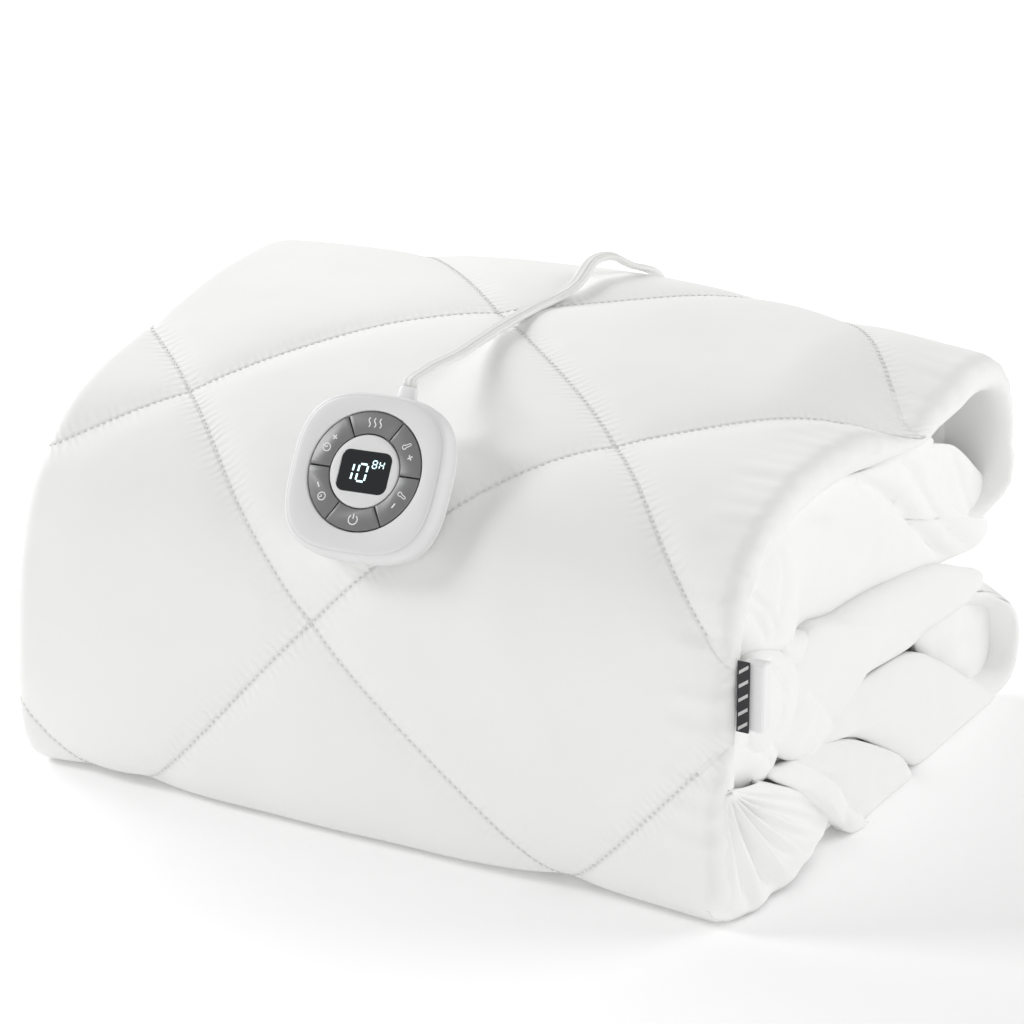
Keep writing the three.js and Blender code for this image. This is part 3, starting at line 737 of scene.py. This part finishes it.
# soft unevenness of the cloth; the numbers are its size along both directions and a seed
def sway(first, second, sizes, seed):
    spots = [Vector((a / sizes[0], b / sizes[1], seed)) for a, b in zip(first, second)]
    return np.array([noise.noise(spot) for spot in spots])


def quiltedPad():
    places, shown = foldPlaces()
    half, reach = throughRows(foldHalf, places), throughRows(foldReach, places)
    # the inner face is coarser
    inside = [k for k in range(len(places)) if not shown[k] or k % 4 == 0]
    foot = int(np.searchsorted(places, foldNames.index("lower corner") - 1.0))
    rimShares = [1 - math.cos(math.pi / 2 * k / pad["rimSteps"]) for k in range(pad["rimSteps"])]
    stations = [("left", share) for share in rimShares]
    stations += [("between", k / (pad["stations"] + 1)) for k in range(pad["stations"] + 2)]
    stations += [("right", share) for share in reversed(rimShares)]
    underRemote = np.array((onRemote @ Vector((0, 0, -remote["height"]))) / mm - bundlePlace)
    loops, marks, ups, xs, outs = [], [], [], [], []
    rough = sway(places * 5.0, places * 0.0, (1.0, 1.0), 4.2)
    for kind, share in stations:
        rightReach = reach[:, 1] + pad["ragged"] * rough * shown
        left, right = reach[:, 0] + pad["rim"], rightReach - pad["rim"]
        x = left * (1 - share) + right * share
        rounded = np.ones(len(places))
        if kind != "between":
            inset = pad["rim"] * share
            x = reach[:, 0] + inset if kind == "left" else rightReach - inset
            rounded = np.full(len(places), math.sqrt(max(1 - (1 - share) ** 2, 0)))
        y, z, oy, oz = clothSection(x, places)
        outY, outZ = y + oy * half * rounded, z + oz * half * rounded
        arc = np.concatenate([[0], np.cumsum(np.hypot(np.diff(outY), np.diff(outZ)))])
        offLevel = np.abs(outZ[: foot + 1] - pad["level"])
        level = int(np.argmin(offLevel + 1000 * (outY[: foot + 1] > 40)))  # on the front alone
        near = slice(level - 4, level + 5)
        up = pad["level"] + np.interp(-pad["level"], -outZ[near], arc[near]) - arc
        fall = quilt["depth"] * half * grooves(x, up)
        high, swell = pad["uneven"]
        soft = high * sway(x, up, (swell, swell), 1.7)
        high, short, long = pad["crumple"]
        nearHem = smooth(*pad["crumpleFrom"], rightReach - x)
        crumple = high * nearHem * sway(up, x, (short, long), 7.3)
        crumple = crumple * smooth(*pad["crumpleTo"], rightReach - x)
        top = (half - fall + (soft + crumple) * shown) * rounded
        bottom = (half - fall) * rounded
        outer = np.stack([x, y + oy * top, np.maximum(z + oz * top, 0)], axis=1)
        apart = np.linalg.norm(outer - underRemote, axis=1)
        dent = pad["dent"] * np.exp(-((apart / pad["dentWide"]) ** 4)) * shown
        outer -= np.stack([0 * dent, oy * dent, oz * dent], axis=1)
        if not rounded.any():  # along the hem the two faces meet
            steps = range(len(places))
            outer = np.stack([np.interp(steps, inside, side[inside]) for side in outer.T], axis=1)
        inner = np.stack([x, y - oy * bottom, np.maximum(z - oz * bottom, 0)], axis=1)[inside][::-1]
        loops.append(np.concatenate([outer, inner]))
        unseamed = np.full((len(inside), 2), 0.25)  # the inner face has no seam relief
        marks.append(np.concatenate([np.stack(seamNumbers(x, up), axis=1), unseamed]))
        ups.append(up)
        xs.append(x)
        outs.append(np.stack([0 * oy, oy, oz], axis=1))
    loops = np.array(loops)
    bm = gridOf(placeAll(loops), wrap=True, marks=np.array(marks))
    weld(bm, 2e-5)
    thing = addPiece("quilted_pad_cloth", bm, quiltedCloth)
    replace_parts(thing, "quilted_pad")
    print(f"pad: {len(thing.data.polygons)} faces")
    return {
        "outer": loops[:, : len(places)],
        "up": np.array(ups),
        "x": np.array(xs),
        "out": np.array(outs),
    }


cloth = quiltedPad()


# place and outward direction on the outer cloth at an x and a way up the cloth
def clothPoint(x, up):
    def across(station):
        parts = (cloth["x"][station][:, None], cloth["outer"][station], cloth["out"][station])
        columns = np.concatenate(parts, axis=1).T
        return np.array([np.interp(-up, -cloth["up"][station], column) for column in columns])

    at = (x + pad["length"] / 2) / pad["length"] * (len(cloth["x"]) - 1)
    for _ in range(6):
        station = int(np.clip(at, 0, len(cloth["x"]) - 2))
        first, second = across(station), across(station + 1)
        at = station + (x - first[0]) / (second[0] - first[0])
        if station <= at <= station + 1:
            break
    values = first + (second - first) * (at - station)
    return Vector(values[1:4]), Vector(values[4:]).normalized()


# x and way up the cloth where two seam numbers meet
def seamPlace(first, second):
    wanted = np.array([first, second])
    for _ in range(12):
        x = quilt["x"] + quilt["along"] * (wanted.sum() / 2)
        up = quilt["up"] + quilt["across"] * ((wanted[0] - wanted[1]) / 2)
        wanted = wanted + (np.array([first, second]) - np.array(seamNumbers(x, up))) * 0.8
    return x, up


stitch = {
    "every": 3.4,
    "long": 2.3,
    "radius": 0.42,
    "up": (-60, 600),
    "x": (-196, 177),
    "seams": range(-3, 5),
    "search": (-140, 260, 0.025),  # first and last step along a seam, and the step
}


def addStitches():
    bm = bmesh.new()
    total = 0
    left, right = stitch["x"]
    lowest, highest = stitch["up"]
    first, last, step = stitch["search"]
    for family in (0, 1):
        for number in stitch["seams"]:
            line = []
            for other in np.arange(first, last) * step:
                x, up = seamPlace(*((number, other) if family == 0 else (other, number)))
                if left < x < right and lowest < up < highest:
                    line.append((x, up))
            if len(line) < 3:
                continue
            line = np.array(line)
            along = np.concatenate([[0], np.cumsum(np.hypot(*np.diff(line, axis=0).T))])
            for at in np.arange(2, along[-1] - 2, stitch["every"]):
                ends = []
                for spot in (at - stitch["long"] / 2, at + stitch["long"] / 2):
                    x, up = (float(np.interp(spot, along, column)) for column in line.T)
                    ends.append(clothPoint(x, up))
                (a, out), (b, _) = ends
                along3 = (b - a).normalized()
                side = along3.cross(out).normalized()
                radius = stitch["radius"]
                size = Matrix.Diagonal((stitch["long"] / 2, radius, radius * 0.8, 1 / mm)) * mm
                turn = Matrix((along3, side, out)).transposed().to_4x4()
                spot = Matrix.Translation(place((a + b) / 2 + out * 0.15))
                whole = spot @ turn @ size
                bmesh.ops.create_icosphere(bm, subdivisions=1, radius=1, matrix=whole)
                total += 1
    addPiece("quilt_stitches", bm, thread)
    print(f"stitches: {total}")


addStitches()


puff = {
    "around": 112,
    "rings": 26,
    "behind": (0.0, 0.5, 0.9, 0.985),  # rings of its hidden back
    "wrinkle": (13, 9),
    "lowest": 0.2,
}
plainPuff = {"middle": None, "thick": 6, "shape": 2.4, "wrinkle": 0.5, "creases": ()}


# a puffed flap or layer end, from its closed outline as (y, z). edge is the x of its edge at the
# lowest and at the highest y, rise is how far it stands out, shape how square its crown is, and
# creases are (y, z) lines with a width and a depth
def addPuff(name, outline, edge, rise, material=skirtKnit, **others):
    form = {**plainPuff, **others}
    line = roundPoints([tuple(float(v) for v in spot) for spot in outline], puff["around"])
    middle = line.mean(axis=0) if form["middle"] is None else np.array(form["middle"], float)
    low, high = line[:, 0].min(), line[:, 0].max()
    creaseLines = []
    for spots, width, depth in form["creases"]:
        run = throughPoints([(y, z, 0) for y, z in spots], 2)[:, :2]
        creaseLines.append((run, width, depth))
    rings = []
    for share in puff["behind"]:
        spots = middle + (line - middle) * share
        x = edge[0] + (edge[1] - edge[0]) * (spots[:, 0] - low) / (high - low) - form["thick"]
        rings.append(np.stack([x, spots[:, 0], spots[:, 1]], axis=1))
    for share in np.sin(np.linspace(math.pi / 2, 0, puff["rings"])):
        spots = middle + (line - middle) * share
        x = edge[0] + (edge[1] - edge[0]) * (spots[:, 0] - low) / (high - low)
        x = x + rise * math.sqrt(max(1 - share ** form["shape"], 0))
        rough = sway(spots[:, 0], spots[:, 1], puff["wrinkle"], rise + low)
        x = x + form["wrinkle"] * (1 - share**6) * rough
        for crease, width, depth in creaseLines:
            away = np.linalg.norm(spots[:, None] - crease[None], axis=2).min(axis=1)
            x = x - depth * np.exp(-((away / width) ** 1.5)) * (1 - share**8)
        rings.append(np.stack([x, spots[:, 0], spots[:, 1]], axis=1))
    points = np.array(rings)
    points[..., 2] = np.maximum(points[..., 2], puff["lowest"])
    bm = gridOf(placeAll(points), wrap=True)
    weld(bm)
    return addPiece(name, bm, material)


# the tucked part of the skirt over the upper folds
endSkirt = dict(
    middle=(165, 138), edge=(180, 192), rise=3.5, shape=3.5, wrinkle=0.7,
    outline=[
        (34, 181), (62, 179), (87, 181), (114, 178), (147, 171), (197, 168), (218, 163),
        (214, 157), (215, 147), (225, 133), (244, 118), (261, 107), (284, 97), (286, 89),
        (271, 86), (231, 92), (185, 97), (160, 102), (127, 103), (103, 106), (69, 110), (52, 126),
        (45, 147),
    ],
    creases=[
        ([(140, 168), (171, 148), (199, 124), (236, 92)], 4.2, 5),
        ([(183, 163), (206, 139), (231, 113), (263, 90)], 3.4, 3),
        ([(80, 176), (96, 158), (104, 144)], 3, 1.2),
    ],
)
endFace = addPuff("upper_end_skirt", **endSkirt)
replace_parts(endFace, "skirt_upper")

# the ends of the layers, the linings of the two pockets and the loose folds between them
flaps = {
    "front_tongue": dict(
        edge=(179, 188), rise=5.5, wrinkle=1.2,
        outline=[
            (47, 175), (59, 155), (64, 141), (63, 124), (56, 116), (41, 116), (16, 124), (8, 136),
            (9, 152), (19, 164), (32, 174),
        ],
        creases=[
            ([(10, 151), (23, 144), (32, 130)], 2.5, 1.6),
            ([(17, 156), (31, 145), (39, 133)], 2.5, 1.2),
            ([(41, 172), (46, 155), (43, 141)], 3, 1),
        ],
    ),
    "pocket_lining": dict(
        edge=(187, 190), rise=1.5, thick=3, shape=9, wrinkle=1.2,
        outline=[
            (205, 163), (222, 158), (247, 148), (272, 129), (286, 115), (286, 95), (260, 95),
            (225, 120),
        ],
        creases=[
            ([(240, 152), (252, 130), (270, 104)], 3, 1.4),
        ],
    ),
    "pocket_back": dict(
        edge=(160, 168), rise=1.5, thick=3, shape=9, wrinkle=1.5,
        outline=[
            (200, 165), (215, 176), (240, 181), (262, 181), (279, 170), (286, 150), (287, 125),
            (280, 112), (262, 108), (225, 122),
        ],
    ),
    "lower_pocket_lining": dict(
        edge=(186, 192), rise=1.5, thick=3, shape=9, wrinkle=1.2,
        outline=[
            (205, 66), (231, 70), (258, 70), (280, 64), (292, 52), (297, 36), (295, 18), (284, 7),
            (262, 8), (232, 28),
        ],
    ),
    "middle_layer_end": dict(
        middle=(150, 90), edge=(190, 194), rise=7.5, shape=3, material=shellCloth,
        outline=[
            (52, 92), (58, 108), (76, 119), (102, 114), (138, 111), (211, 99), (250, 84),
            (270, 75), (277, 68), (262, 63), (236, 64), (207, 67), (181, 66), (132, 72), (110, 70),
            (88, 62), (72, 76),
        ],
    ),
    "lower_layer_end": dict(
        middle=(165, 45), edge=(192, 200), rise=7, shape=3, material=shellCloth,
        outline=[
            (74, 60), (88, 64), (110, 70), (132, 71), (181, 65), (212, 50), (246, 28), (280, 6),
            (284, 0.5), (243, 0.5), (196, 0.5), (176, 10), (158, 22), (130, 40), (108, 50),
        ],
    ),
    "lower_roll_end": dict(
        edge=(192, 199), rise=7, shape=3, material=shellCloth,
        outline=[
            (56, 57), (69, 59), (84, 58), (114, 47), (147, 29.5), (168, 16), (180, 2), (178, 0.5),
            (150, 0.5), (117, 0.5), (98, 16), (78, 41),
        ],
    ),
    "gather_flap": dict(
        edge=(190, 197), rise=6, wrinkle=1,
        outline=[
            (34, 60), (52, 60), (67, 55), (84, 42), (102, 26), (109, 12), (103, 6), (84, 22),
            (62, 40),
        ],
    ),
    "inlet_loop": dict(
        edge=(186, 190), rise=6, wrinkle=0.6,
        outline=[
            (16, 125), (40, 121), (57, 108), (62, 95), (58, 82), (46, 75), (30, 74), (16, 79),
            (12, 100),
        ],
        creases=[
            ([(31, 118), (40, 105), (40, 88), (34, 78)], 2, 1.8),
        ],
    ),
    "flap_upper": dict(
        edge=(186, 190), rise=5.5, wrinkle=0.8,
        outline=[
            (48, 120), (70, 118), (90, 114), (87, 102), (69, 93), (58, 100),
        ],
    ),
    "flap_lower": dict(
        edge=(187, 192), rise=7, wrinkle=0.8,
        outline=[
            (58, 96), (68, 96), (83, 80), (96, 63), (91, 56), (78, 54), (62, 55), (35, 75),
            (50, 84),
        ],
    ),
    "front_lobe": dict(
        edge=(180, 187), rise=6, wrinkle=0.8,
        outline=[
            (-3, 104), (17, 100), (34, 90), (45, 76), (46, 65), (37, 57), (17, 59), (0, 66),
            (-7, 85),
        ],
        creases=[
            ([(12, 84), (26, 76), (38, 64)], 2.2, 1.2),
        ],
    ),
    "corner_tab": dict(
        edge=(197, 201), rise=4, wrinkle=0.4,
        outline=[
            (97, 20), (110, 14), (121, 3), (124, 0.5), (110, 0.5), (101, 8),
        ],
    ),
}
for name, form in flaps.items():
    addPuff(name, **form)
print("end flaps done")

# the skirt's gathers fan out from the pinch at the front corner; angles are in degrees, measured
# downwards from straight back
fan = {
    "pinch": (189, -9, 71),
    # angle, how far the cloth reaches there, and the x that it has at that end
    "reach": [
        (13, 30, 192), (16, 38, 193), (19, 52, 194), (22, 78, 195), (25, 108, 196),
        (28, 123, 196.5), (31, 123, 197), (35, 115, 198.5), (40, 104, 200.5), (48, 91, 201.5),
        (58, 81, 200.5), (66, 76, 198.8), (73, 73, 196.6), (79, 71, 194), (84, 69.5, 191.5),
        (88, 67, 189.5), (91, 64.5, 187.8), (94, 61, 186.5),
    ],
    "rows": 46,
    "columns": 150,
    "open": 0.03,  # share of the reach that is left open at the pinch
    "thick": 1.6,
    # the pad's front face as (height, y), and its rounded right rim: x, depth and width
    "front": [(1, -4.1), (3, -7.8), (6, -10.9), (10, -13.2), (15, -14.3), (30, -15.5)],
    "rim": (188.2, 10, 11.5),
    "inside": 1.2,  # how far the left edge ends inside the front face
    "lifts": (94, 84),  # angles between which the cloth lifts off the rim
    "tuck": 4,  # how far the lower edge turns in
    "tuckFrom": 0.88,  # share of the reach
    "wrinkle": (0.9, 8, 22),
    "wrinkleRows": 30,
    "wrinkleFrom": (0.05, 0.4),
    # valleys: angle at the pinch and at the floor, depth, width in degrees
    "valleys": [
        (85, 75, 3.4, 3), (70, 59, 11, 5.2), (55, 44, 7.5, 4.2), (44, 36, 6, 3),
        (34, 31, 3.4, 2.2), (26, 26.5, 1.8, 2),
    ],
    "valleyFrom": (0.02, 0.3),  # a valley deepens away from the pinch
    "valleyFade": (0.75, 0.72),  # how much of it is lost near the floor, and from where
}


def addFan():
    px, py, pz = fan["pinch"]
    rows, columns = fan["rows"], fan["columns"]
    reach = throughRows(fan["reach"], np.linspace(0, len(fan["reach"]) - 1, columns))
    degrees = reach[:, 0]
    heights, fronts = np.array(fan["front"]).T
    rimX, deep, wide = fan["rim"]
    high, short, long = fan["wrinkle"]
    lost, lostFrom = fan["valleyFade"]
    points = np.zeros((rows, columns, 3))
    for row in range(rows):
        v = fan["open"] + (1 - fan["open"]) * row / (rows - 1)
        radius = reach[:, 1] * v
        x = px + (reach[:, 2] - px) * math.sin(math.pi / 2 * min(1.25 * v, 1)) ** 0.8
        hold = smooth(*fan["valleyFrom"], v) * (1 - lost * smooth(lostFrom, 1, v))
        for near, far, depth, width in fan["valleys"]:
            at = near + (far - near) * v**0.7
            x -= depth * np.exp(-(((degrees - at) / width) ** 2)) * hold
        rough = sway(degrees, np.full(columns, v * fan["wrinkleRows"]), (short, long), 5.1)
        x += high * rough * smooth(*fan["wrinkleFrom"], v)
        x -= fan["tuck"] * smooth(fan["tuckFrom"], 1, v) ** 2
        angle = np.radians(degrees)
        y, z = py + radius * np.cos(angle), pz - radius * np.sin(angle)
        # towards the front it lies down on the pad's rounded rim, and ends inside its front face
        face = np.interp(z, heights, fronts)
        y = np.maximum(y, face + fan["inside"])
        away = np.clip((face + wide - y) / wide, 0, 1)
        rim = rimX - deep + deep * np.sqrt(1 - away**2)
        x = rim + (x - rim) * smooth(*fan["lifts"], degrees)
        points[row] = np.stack([x, y, np.maximum(z, 0.3)], axis=1)
    bm = gridOf(placeAll(points))
    bmesh.ops.recalc_face_normals(bm, faces=bm.faces)
    bmesh.ops.solidify(bm, geom=list(bm.faces), thickness=fan["thick"] * mm)
    for vert in bm.verts:
        vert.co.z = max(vert.co.z, 0)
    thing = addPiece("gathered_skirt", bm, skirtKnit)
    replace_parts(thing, "skirt_lower")


addFan()

# label in the end of the bundle: a dark ground, partly dark print and partly painted shade of its
# slot, with a few slanting light bands
label = {
    "at": (189.4, -1.9, 115),
    "size": (5.9, 0.9, 34.4),
    "bands": 5,
    "band": 1.7,
    "slope": 3.4,
    "proud": 0.25,  # how far the bands stand out
    "bandThick": 0.3,
    "margins": (0.9, 0.5),
    "below": 0.1,  # gap under a band, as a share of its step
}


def addLabel():
    x, y, z = label["at"]
    wide, thick, tall = label["size"]
    step = tall / label["bands"]
    left, right = label["margins"][0], wide - label["margins"][1]
    whole = [(0, -tall / 2), (wide, -tall / 2), (wide, tall / 2), (0, tall / 2)]
    # the ground piece carries the label's dark print and painted shade of the slot
    pieces = [("woven_label", labelPrintAndShade, whole)]
    for k in range(label["bands"]):
        low = -tall / 2 + (k + label["below"]) * step
        high = low + label["band"]
        lift = min(label["slope"], tall / 2 - high)
        band = [(left, low), (right, low + lift), (right, high + lift), (left, high)]
        pieces.append((f"woven_label_band_{k + 1}", labelLight, band))
    made = []
    for name, material, corners in pieces:
        bm = bmesh.new()
        isBand = material is labelLight
        front = y - (label["proud"] if isBand else 0)
        face = bm.faces.new([bm.verts.new(place((x + u, front, z + v))) for u, v in corners])
        out = bmesh.ops.extrude_face_region(bm, geom=[face])
        back = [v for v in out["geom"] if isinstance(v, bmesh.types.BMVert)]
        shift = Vector((0, (label["bandThick"] if isBand else thick) * mm, 0))
        bmesh.ops.translate(bm, verts=back, vec=shift)
        made.append(addPiece(name, bm, material, rounded=False))
    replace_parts(made[0], "care_tape")


addLabel()
print("inlet and label done")


# rounded square and round rings on the controller
def squircle(half, z, count=96):
    power = remote["squareness"]
    ring = []
    for k in range(count):
        angle = 2 * math.pi * k / count
        c, s = math.cos(angle), math.sin(angle)
        reach = half / (abs(c) ** power + abs(s) ** power) ** (1 / power)
        ring.append((reach * c, reach * s - remote["ringDrop"], z))
    return ring


def circle(radius, z, count=96):
    turns = [2 * math.pi * k / count for k in range(count)]
    return [(radius * math.cos(a), radius * math.sin(a), z) for a in turns]


# how far in from the outline, and the height, from the seam up to the face and from it down
housing = {
    "shell": [
        (1.4, -13.0), (0.5, -12.9), (0.1, -12.3), (0, -6.5), (0.2, -4.2), (0.7, -2.7), (1.5, -1.6),
        (2.3, -0.95), (2.55, -1.05), (2.75, -0.75), (3.1, -0.32), (3.9, -0.08), (5.2, 0),
    ],
    "base": [
        (1.6, -13.2), (0.8, -13.35), (0.6, -13.9), (1.3, -16), (3.2, -18.2), (6, -19.6), (9, -20),
    ],
    "disc": [(0.3, -4.7), (0, -4.4), (0, -0.7), (0.2, -0.25), (0.8, 0), (3, 0.05)],
    "wellEdge": [(-0.7, 0), (-0.2, -0.2), (0, -0.7)],
}


def addHousing():
    half, well, disc = remote["half"], remote["wellRadius"], remote["discRadius"]
    floor = remote["wellFloor"]
    rings = [squircle(half - inset, z) for inset, z in housing["shell"]]
    rings += [circle(well - inset, z) for inset, z in [*housing["wellEdge"], (0, floor)]]
    rings.append(circle(disc - 2, floor))
    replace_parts(onController("controller_shell", rings, faceAbs), "remote_shell")
    rings = [squircle(half - inset, z) for inset, z in housing["base"]]
    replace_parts(onController("controller_base", rings, whiteAbs), "remote_base")
    rings = [circle(disc - inset, z) for inset, z in housing["disc"]]
    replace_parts(onController("controller_disc", rings, faceAbs), "centre_disc")


addHousing()


def roundedOutline(width, height, corner, z, count=8):
    ring = []
    for quarter, (sx, sy) in enumerate(((1, 1), (-1, 1), (-1, -1), (1, -1))):
        for k in range(count + 1):
            angle = math.pi / 2 * (quarter + k / count)
            x = sx * (width / 2 - corner) + corner * math.cos(angle)
            ring.append((x, sy * (height / 2 - corner) + corner * math.sin(angle), z))
    return ring


window = {
    "width": 26.2,
    "height": 20,
    "corner": 4.2,
    "x": 0.2,
    "y": -0.4,
    "edge": [(0, 0.02), (0.1, 0.12), (0.5, 0.22), (1.2, 0.25)],  # inset and height
    "digits": 0.27,  # height that the lit bars lie at
}


def addWindow():
    rings = []
    for inset, z in window["edge"]:
        width, height = window["width"] - inset, window["height"] - inset
        ring = roundedOutline(width, height, window["corner"] - inset / 2, z)
        rings.append([(x + window["x"], y + window["y"], z) for x, y, z in ring])
    pane = onController("display_pane", rings, acrylic)
    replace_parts(pane, "display_window")


addWindow()


# flat printed or lit bars on the controller, each from one end to the other with its width
def addBars(name, bars, z, material, body="folded_pad", thickness=0.12):
    bm = bmesh.new()
    for ax, ay, bx, by, width in bars:
        a, b = Vector((ax, ay, z)), Vector((bx, by, z))
        along = (b - a).normalized()
        side = Vector((-along.y, along.x, 0))
        turn = Matrix((along, side, Vector((0, 0, 1)))).transposed().to_4x4()
        size = Matrix.Diagonal(((b - a).length, width, thickness, 1))
        whole = onRemote @ Matrix.Translation((a + b) / 2) @ turn @ size
        bmesh.ops.create_cube(bm, size=1, matrix=whole)
    addPiece(name, bm, material, body, rounded=False)


# which of a digit's seven bars are lit: top, upper left, upper right, middle, lower left,
# lower right, bottom
litBars = {"1": "0010010", "0": "1110111", "8": "1111111", "H": "0111110"}


def digitBars(character, x, y, width, height, stroke, lean):
    gap = stroke * 0.7
    w, h = width / 2, height / 2
    spots = [
        ((-w + gap, h), (w - gap, h)),
        ((-w, gap), (-w, h - gap)),
        ((w, gap), (w, h - gap)),
        ((-w + gap, 0), (w - gap, 0)),
        ((-w, -h + gap), (-w, -gap)),
        ((w, -h + gap), (w, -gap)),
        ((-w + gap, -h), (w - gap, -h)),
    ]
    return [
        (x + ax + lean * ay, y + ay, x + bx + lean * by, y + by, stroke)
        for lit, ((ax, ay), (bx, by)) in zip(litBars[character], spots)
        if lit == "1"
    ]


# set temperature, with the hours left small beside it: character, x, y, width, height, stroke
readoutLean = 0.06
readout = [
    ("1", -7.6, -1.0, 4.2, 8.2, 0.85),
    ("0", -0.6, -1.0, 4.4, 8.2, 0.85),
    ("8", 5.0, 3.6, 2.1, 3.6, 0.42),
    ("H", 8.6, 3.6, 2.1, 3.6, 0.42),
]


def addDigits():
    bars = []
    for sign in readout:
        bars += digitBars(*sign, readoutLean)
    addBars("display_digits", bars, window["digits"], litSegment)


addDigits()

key = {
    "inner": 18.05,
    "outer": 28.3,
    "gap": 0.35,
    "top": -0.3,
    "low": -3.3,
    "bevel": 0.35,
    "signSize": 1.3,
    "signLift": 0.03,
    "signThick": 0.08,
    "steps": 18,
}
keyPlaces = ("top", "upper_right", "lower_right", "bottom", "lower_left", "upper_left")


def signBars(sign, x, y):
    bars = [(x - 1.0, y, x + 1.0, y, 0.5)]
    if sign == "+":
        bars.append((x, y - 1.0, x, y + 1.0, 0.5))
    return bars


def arcBars(x, y, radius, first, last, stroke, steps=14):
    angles = [math.radians(first + (last - first) * k / steps) for k in range(steps + 1)]
    spots = [(x + radius * math.cos(a), y + radius * math.sin(a)) for a in angles]
    return [(*a, *b, stroke) for a, b in zip(spots, spots[1:])]


def clockBars(x, y):
    hands = [(x, y, x, y + 0.95, 0.34), (x, y, x + 0.7, y, 0.34)]
    return arcBars(x, y, 1.45, 0, 360, 0.36) + hands


def warmthBars(x, y):
    stem = [(x + side, y - 0.6, x + side, y + 1.2, 0.3) for side in (-0.42, 0.42)]
    bulb = arcBars(x, y - 1.1, 0.75, 125, 415, 0.34)
    return stem + bulb + arcBars(x, y + 1.2, 0.42, 0, 180, 0.3, 5)


def wavesBars(x, y):
    bars = []
    for shift in (-2.2, 0, 2.2):
        spots = []
        for k in range(11):
            spots.append((x + shift + 0.45 * math.sin(k / 10 * 2 * math.pi), y - 1.7 + 0.34 * k))
        bars += [(*a, *b, 0.42) for a, b in zip(spots, spots[1:])]
    return bars


def powerBars(x, y):
    return arcBars(x, y, 1.75, 125, 415, 0.42, 18) + [(x, y + 0.3, x, y + 2.1, 0.42)]


keySigns = [
    wavesBars(0, 0),
    warmthBars(-2.4, 0.2) + signBars("+", 2.2, 0),
    warmthBars(-2.4, 0.2) + signBars("-", 2.2, 0),
    powerBars(0, 0),
    clockBars(-2.4, 0) + signBars("-", 2.2, 0),
    clockBars(-2.4, 0) + signBars("+", 2.2, 0),
]


def addKeys():
    steps, top, bevel = key["steps"], key["top"], key["bevel"]
    levels = [(0, key["low"]), (0, top - bevel), (0.12, top - 0.1), (bevel, top)]
    for number, body in enumerate(f"key_{spot}" for spot in keyPlaces):
        middle = 90 - 60 * number
        rings = []
        for inset, z in levels:
            inner, outer = key["inner"] + inset, key["outer"] - inset
            ring = []
            for radius, order in ((outer, range(steps + 1)), (inner, range(steps, -1, -1))):
                trim = 30 - math.degrees((key["gap"] + inset) / radius)
                for k in order:
                    angle = math.radians(middle - trim + 2 * trim * k / steps)
                    ring.append((radius * math.cos(angle), radius * math.sin(angle), z))
            rings.append(ring)
        thing = onController(f"ring_key_{number + 1}", rings, keyPlastic, body)
        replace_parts(thing, f"key_{number + 1}")
        tilt = math.radians(middle - 90 if body != "key_bottom" else 0)
        c, s = math.cos(tilt), math.sin(tilt)
        radius = (key["inner"] + key["outer"]) / 2
        cx, cy = radius * math.cos(math.radians(middle)), radius * math.sin(math.radians(middle))
        bars = []
        for ax, ay, bx, by, width in np.array(keySigns[number]) * key["signSize"]:
            first = (cx + c * ax - s * ay, cy + s * ax + c * ay)
            bars.append((*first, cx + c * bx - s * by, cy + s * bx + c * by, width))
        sign = f"ring_key_{number + 1}_sign"
        height = top + key["signLift"]
        addBars(sign, bars, height, printInk, body, key["signThick"])


addKeys()
print("controller done")

# plain white studio: a soft key light from the left front, large fills from the left, from behind
# on the right and low in front, and an even pale room; the floor glows a little, so that it stays
# white in the picture as a lit sweep does
studio = {
    "lamps": {
        "key": {"spot": (-1.9, -1.0, 1.5), "size": 0.7, "power": 19},
        "left": {"spot": (-2.2, 0.8, 1.3), "size": 1.5, "power": 37},
        "back": {"spot": (1.9, 1.5, 1.4), "size": 1.7, "power": 27},
        "front": {"spot": (1.8, -1.9, 0.5), "size": 1.2, "power": 14},
    },
    "room": 0.42,
    "floorSize": 8,
    "floorLevel": -0.0004,
    "floorGlow": 0.1,
    "aim": (0, 0, 0.1),
}


def addStudio():
    for name, lamp in studio["lamps"].items():
        data = bpy.data.lights.new(f"{name}_light", "AREA")
        data.size = lamp["size"]
        data.energy = lamp["power"]
        light = bpy.data.objects.new(f"{name}_light", data)
        bpy.context.scene.collection.objects.link(light)
        light.location = lamp["spot"]
        aim = Vector(studio["aim"]) - Vector(lamp["spot"])
        light.rotation_euler = aim.to_track_quat("-Z", "Y").to_euler()
    world = bpy.data.worlds.new("white_studio")
    bpy.context.scene.world = world
    world.use_nodes = True
    background = world.node_tree.nodes["Background"]
    background.inputs["Color"].default_value = linear("#ffffff")
    background.inputs["Strength"].default_value = studio["room"]
    # white paper sweep, matt
    paper = finish(
        "white_paper_sweep",
        "#ffffff",
        Roughness=0.95,
        Specular_IOR_Level=0.0,
        Emission_Color=linear("#ffffff"),
        Emission_Strength=studio["floorGlow"],
    )
    bm = bmesh.new()
    bmesh.ops.create_grid(bm, x_segments=1, y_segments=1, size=studio["floorSize"])
    floor = addObject("studio_floor", bm, paper)
    floor.location.z = studio["floorLevel"]
    bpy.context.scene.view_settings.view_transform = "Standard"


addStudio()
print("studio done")
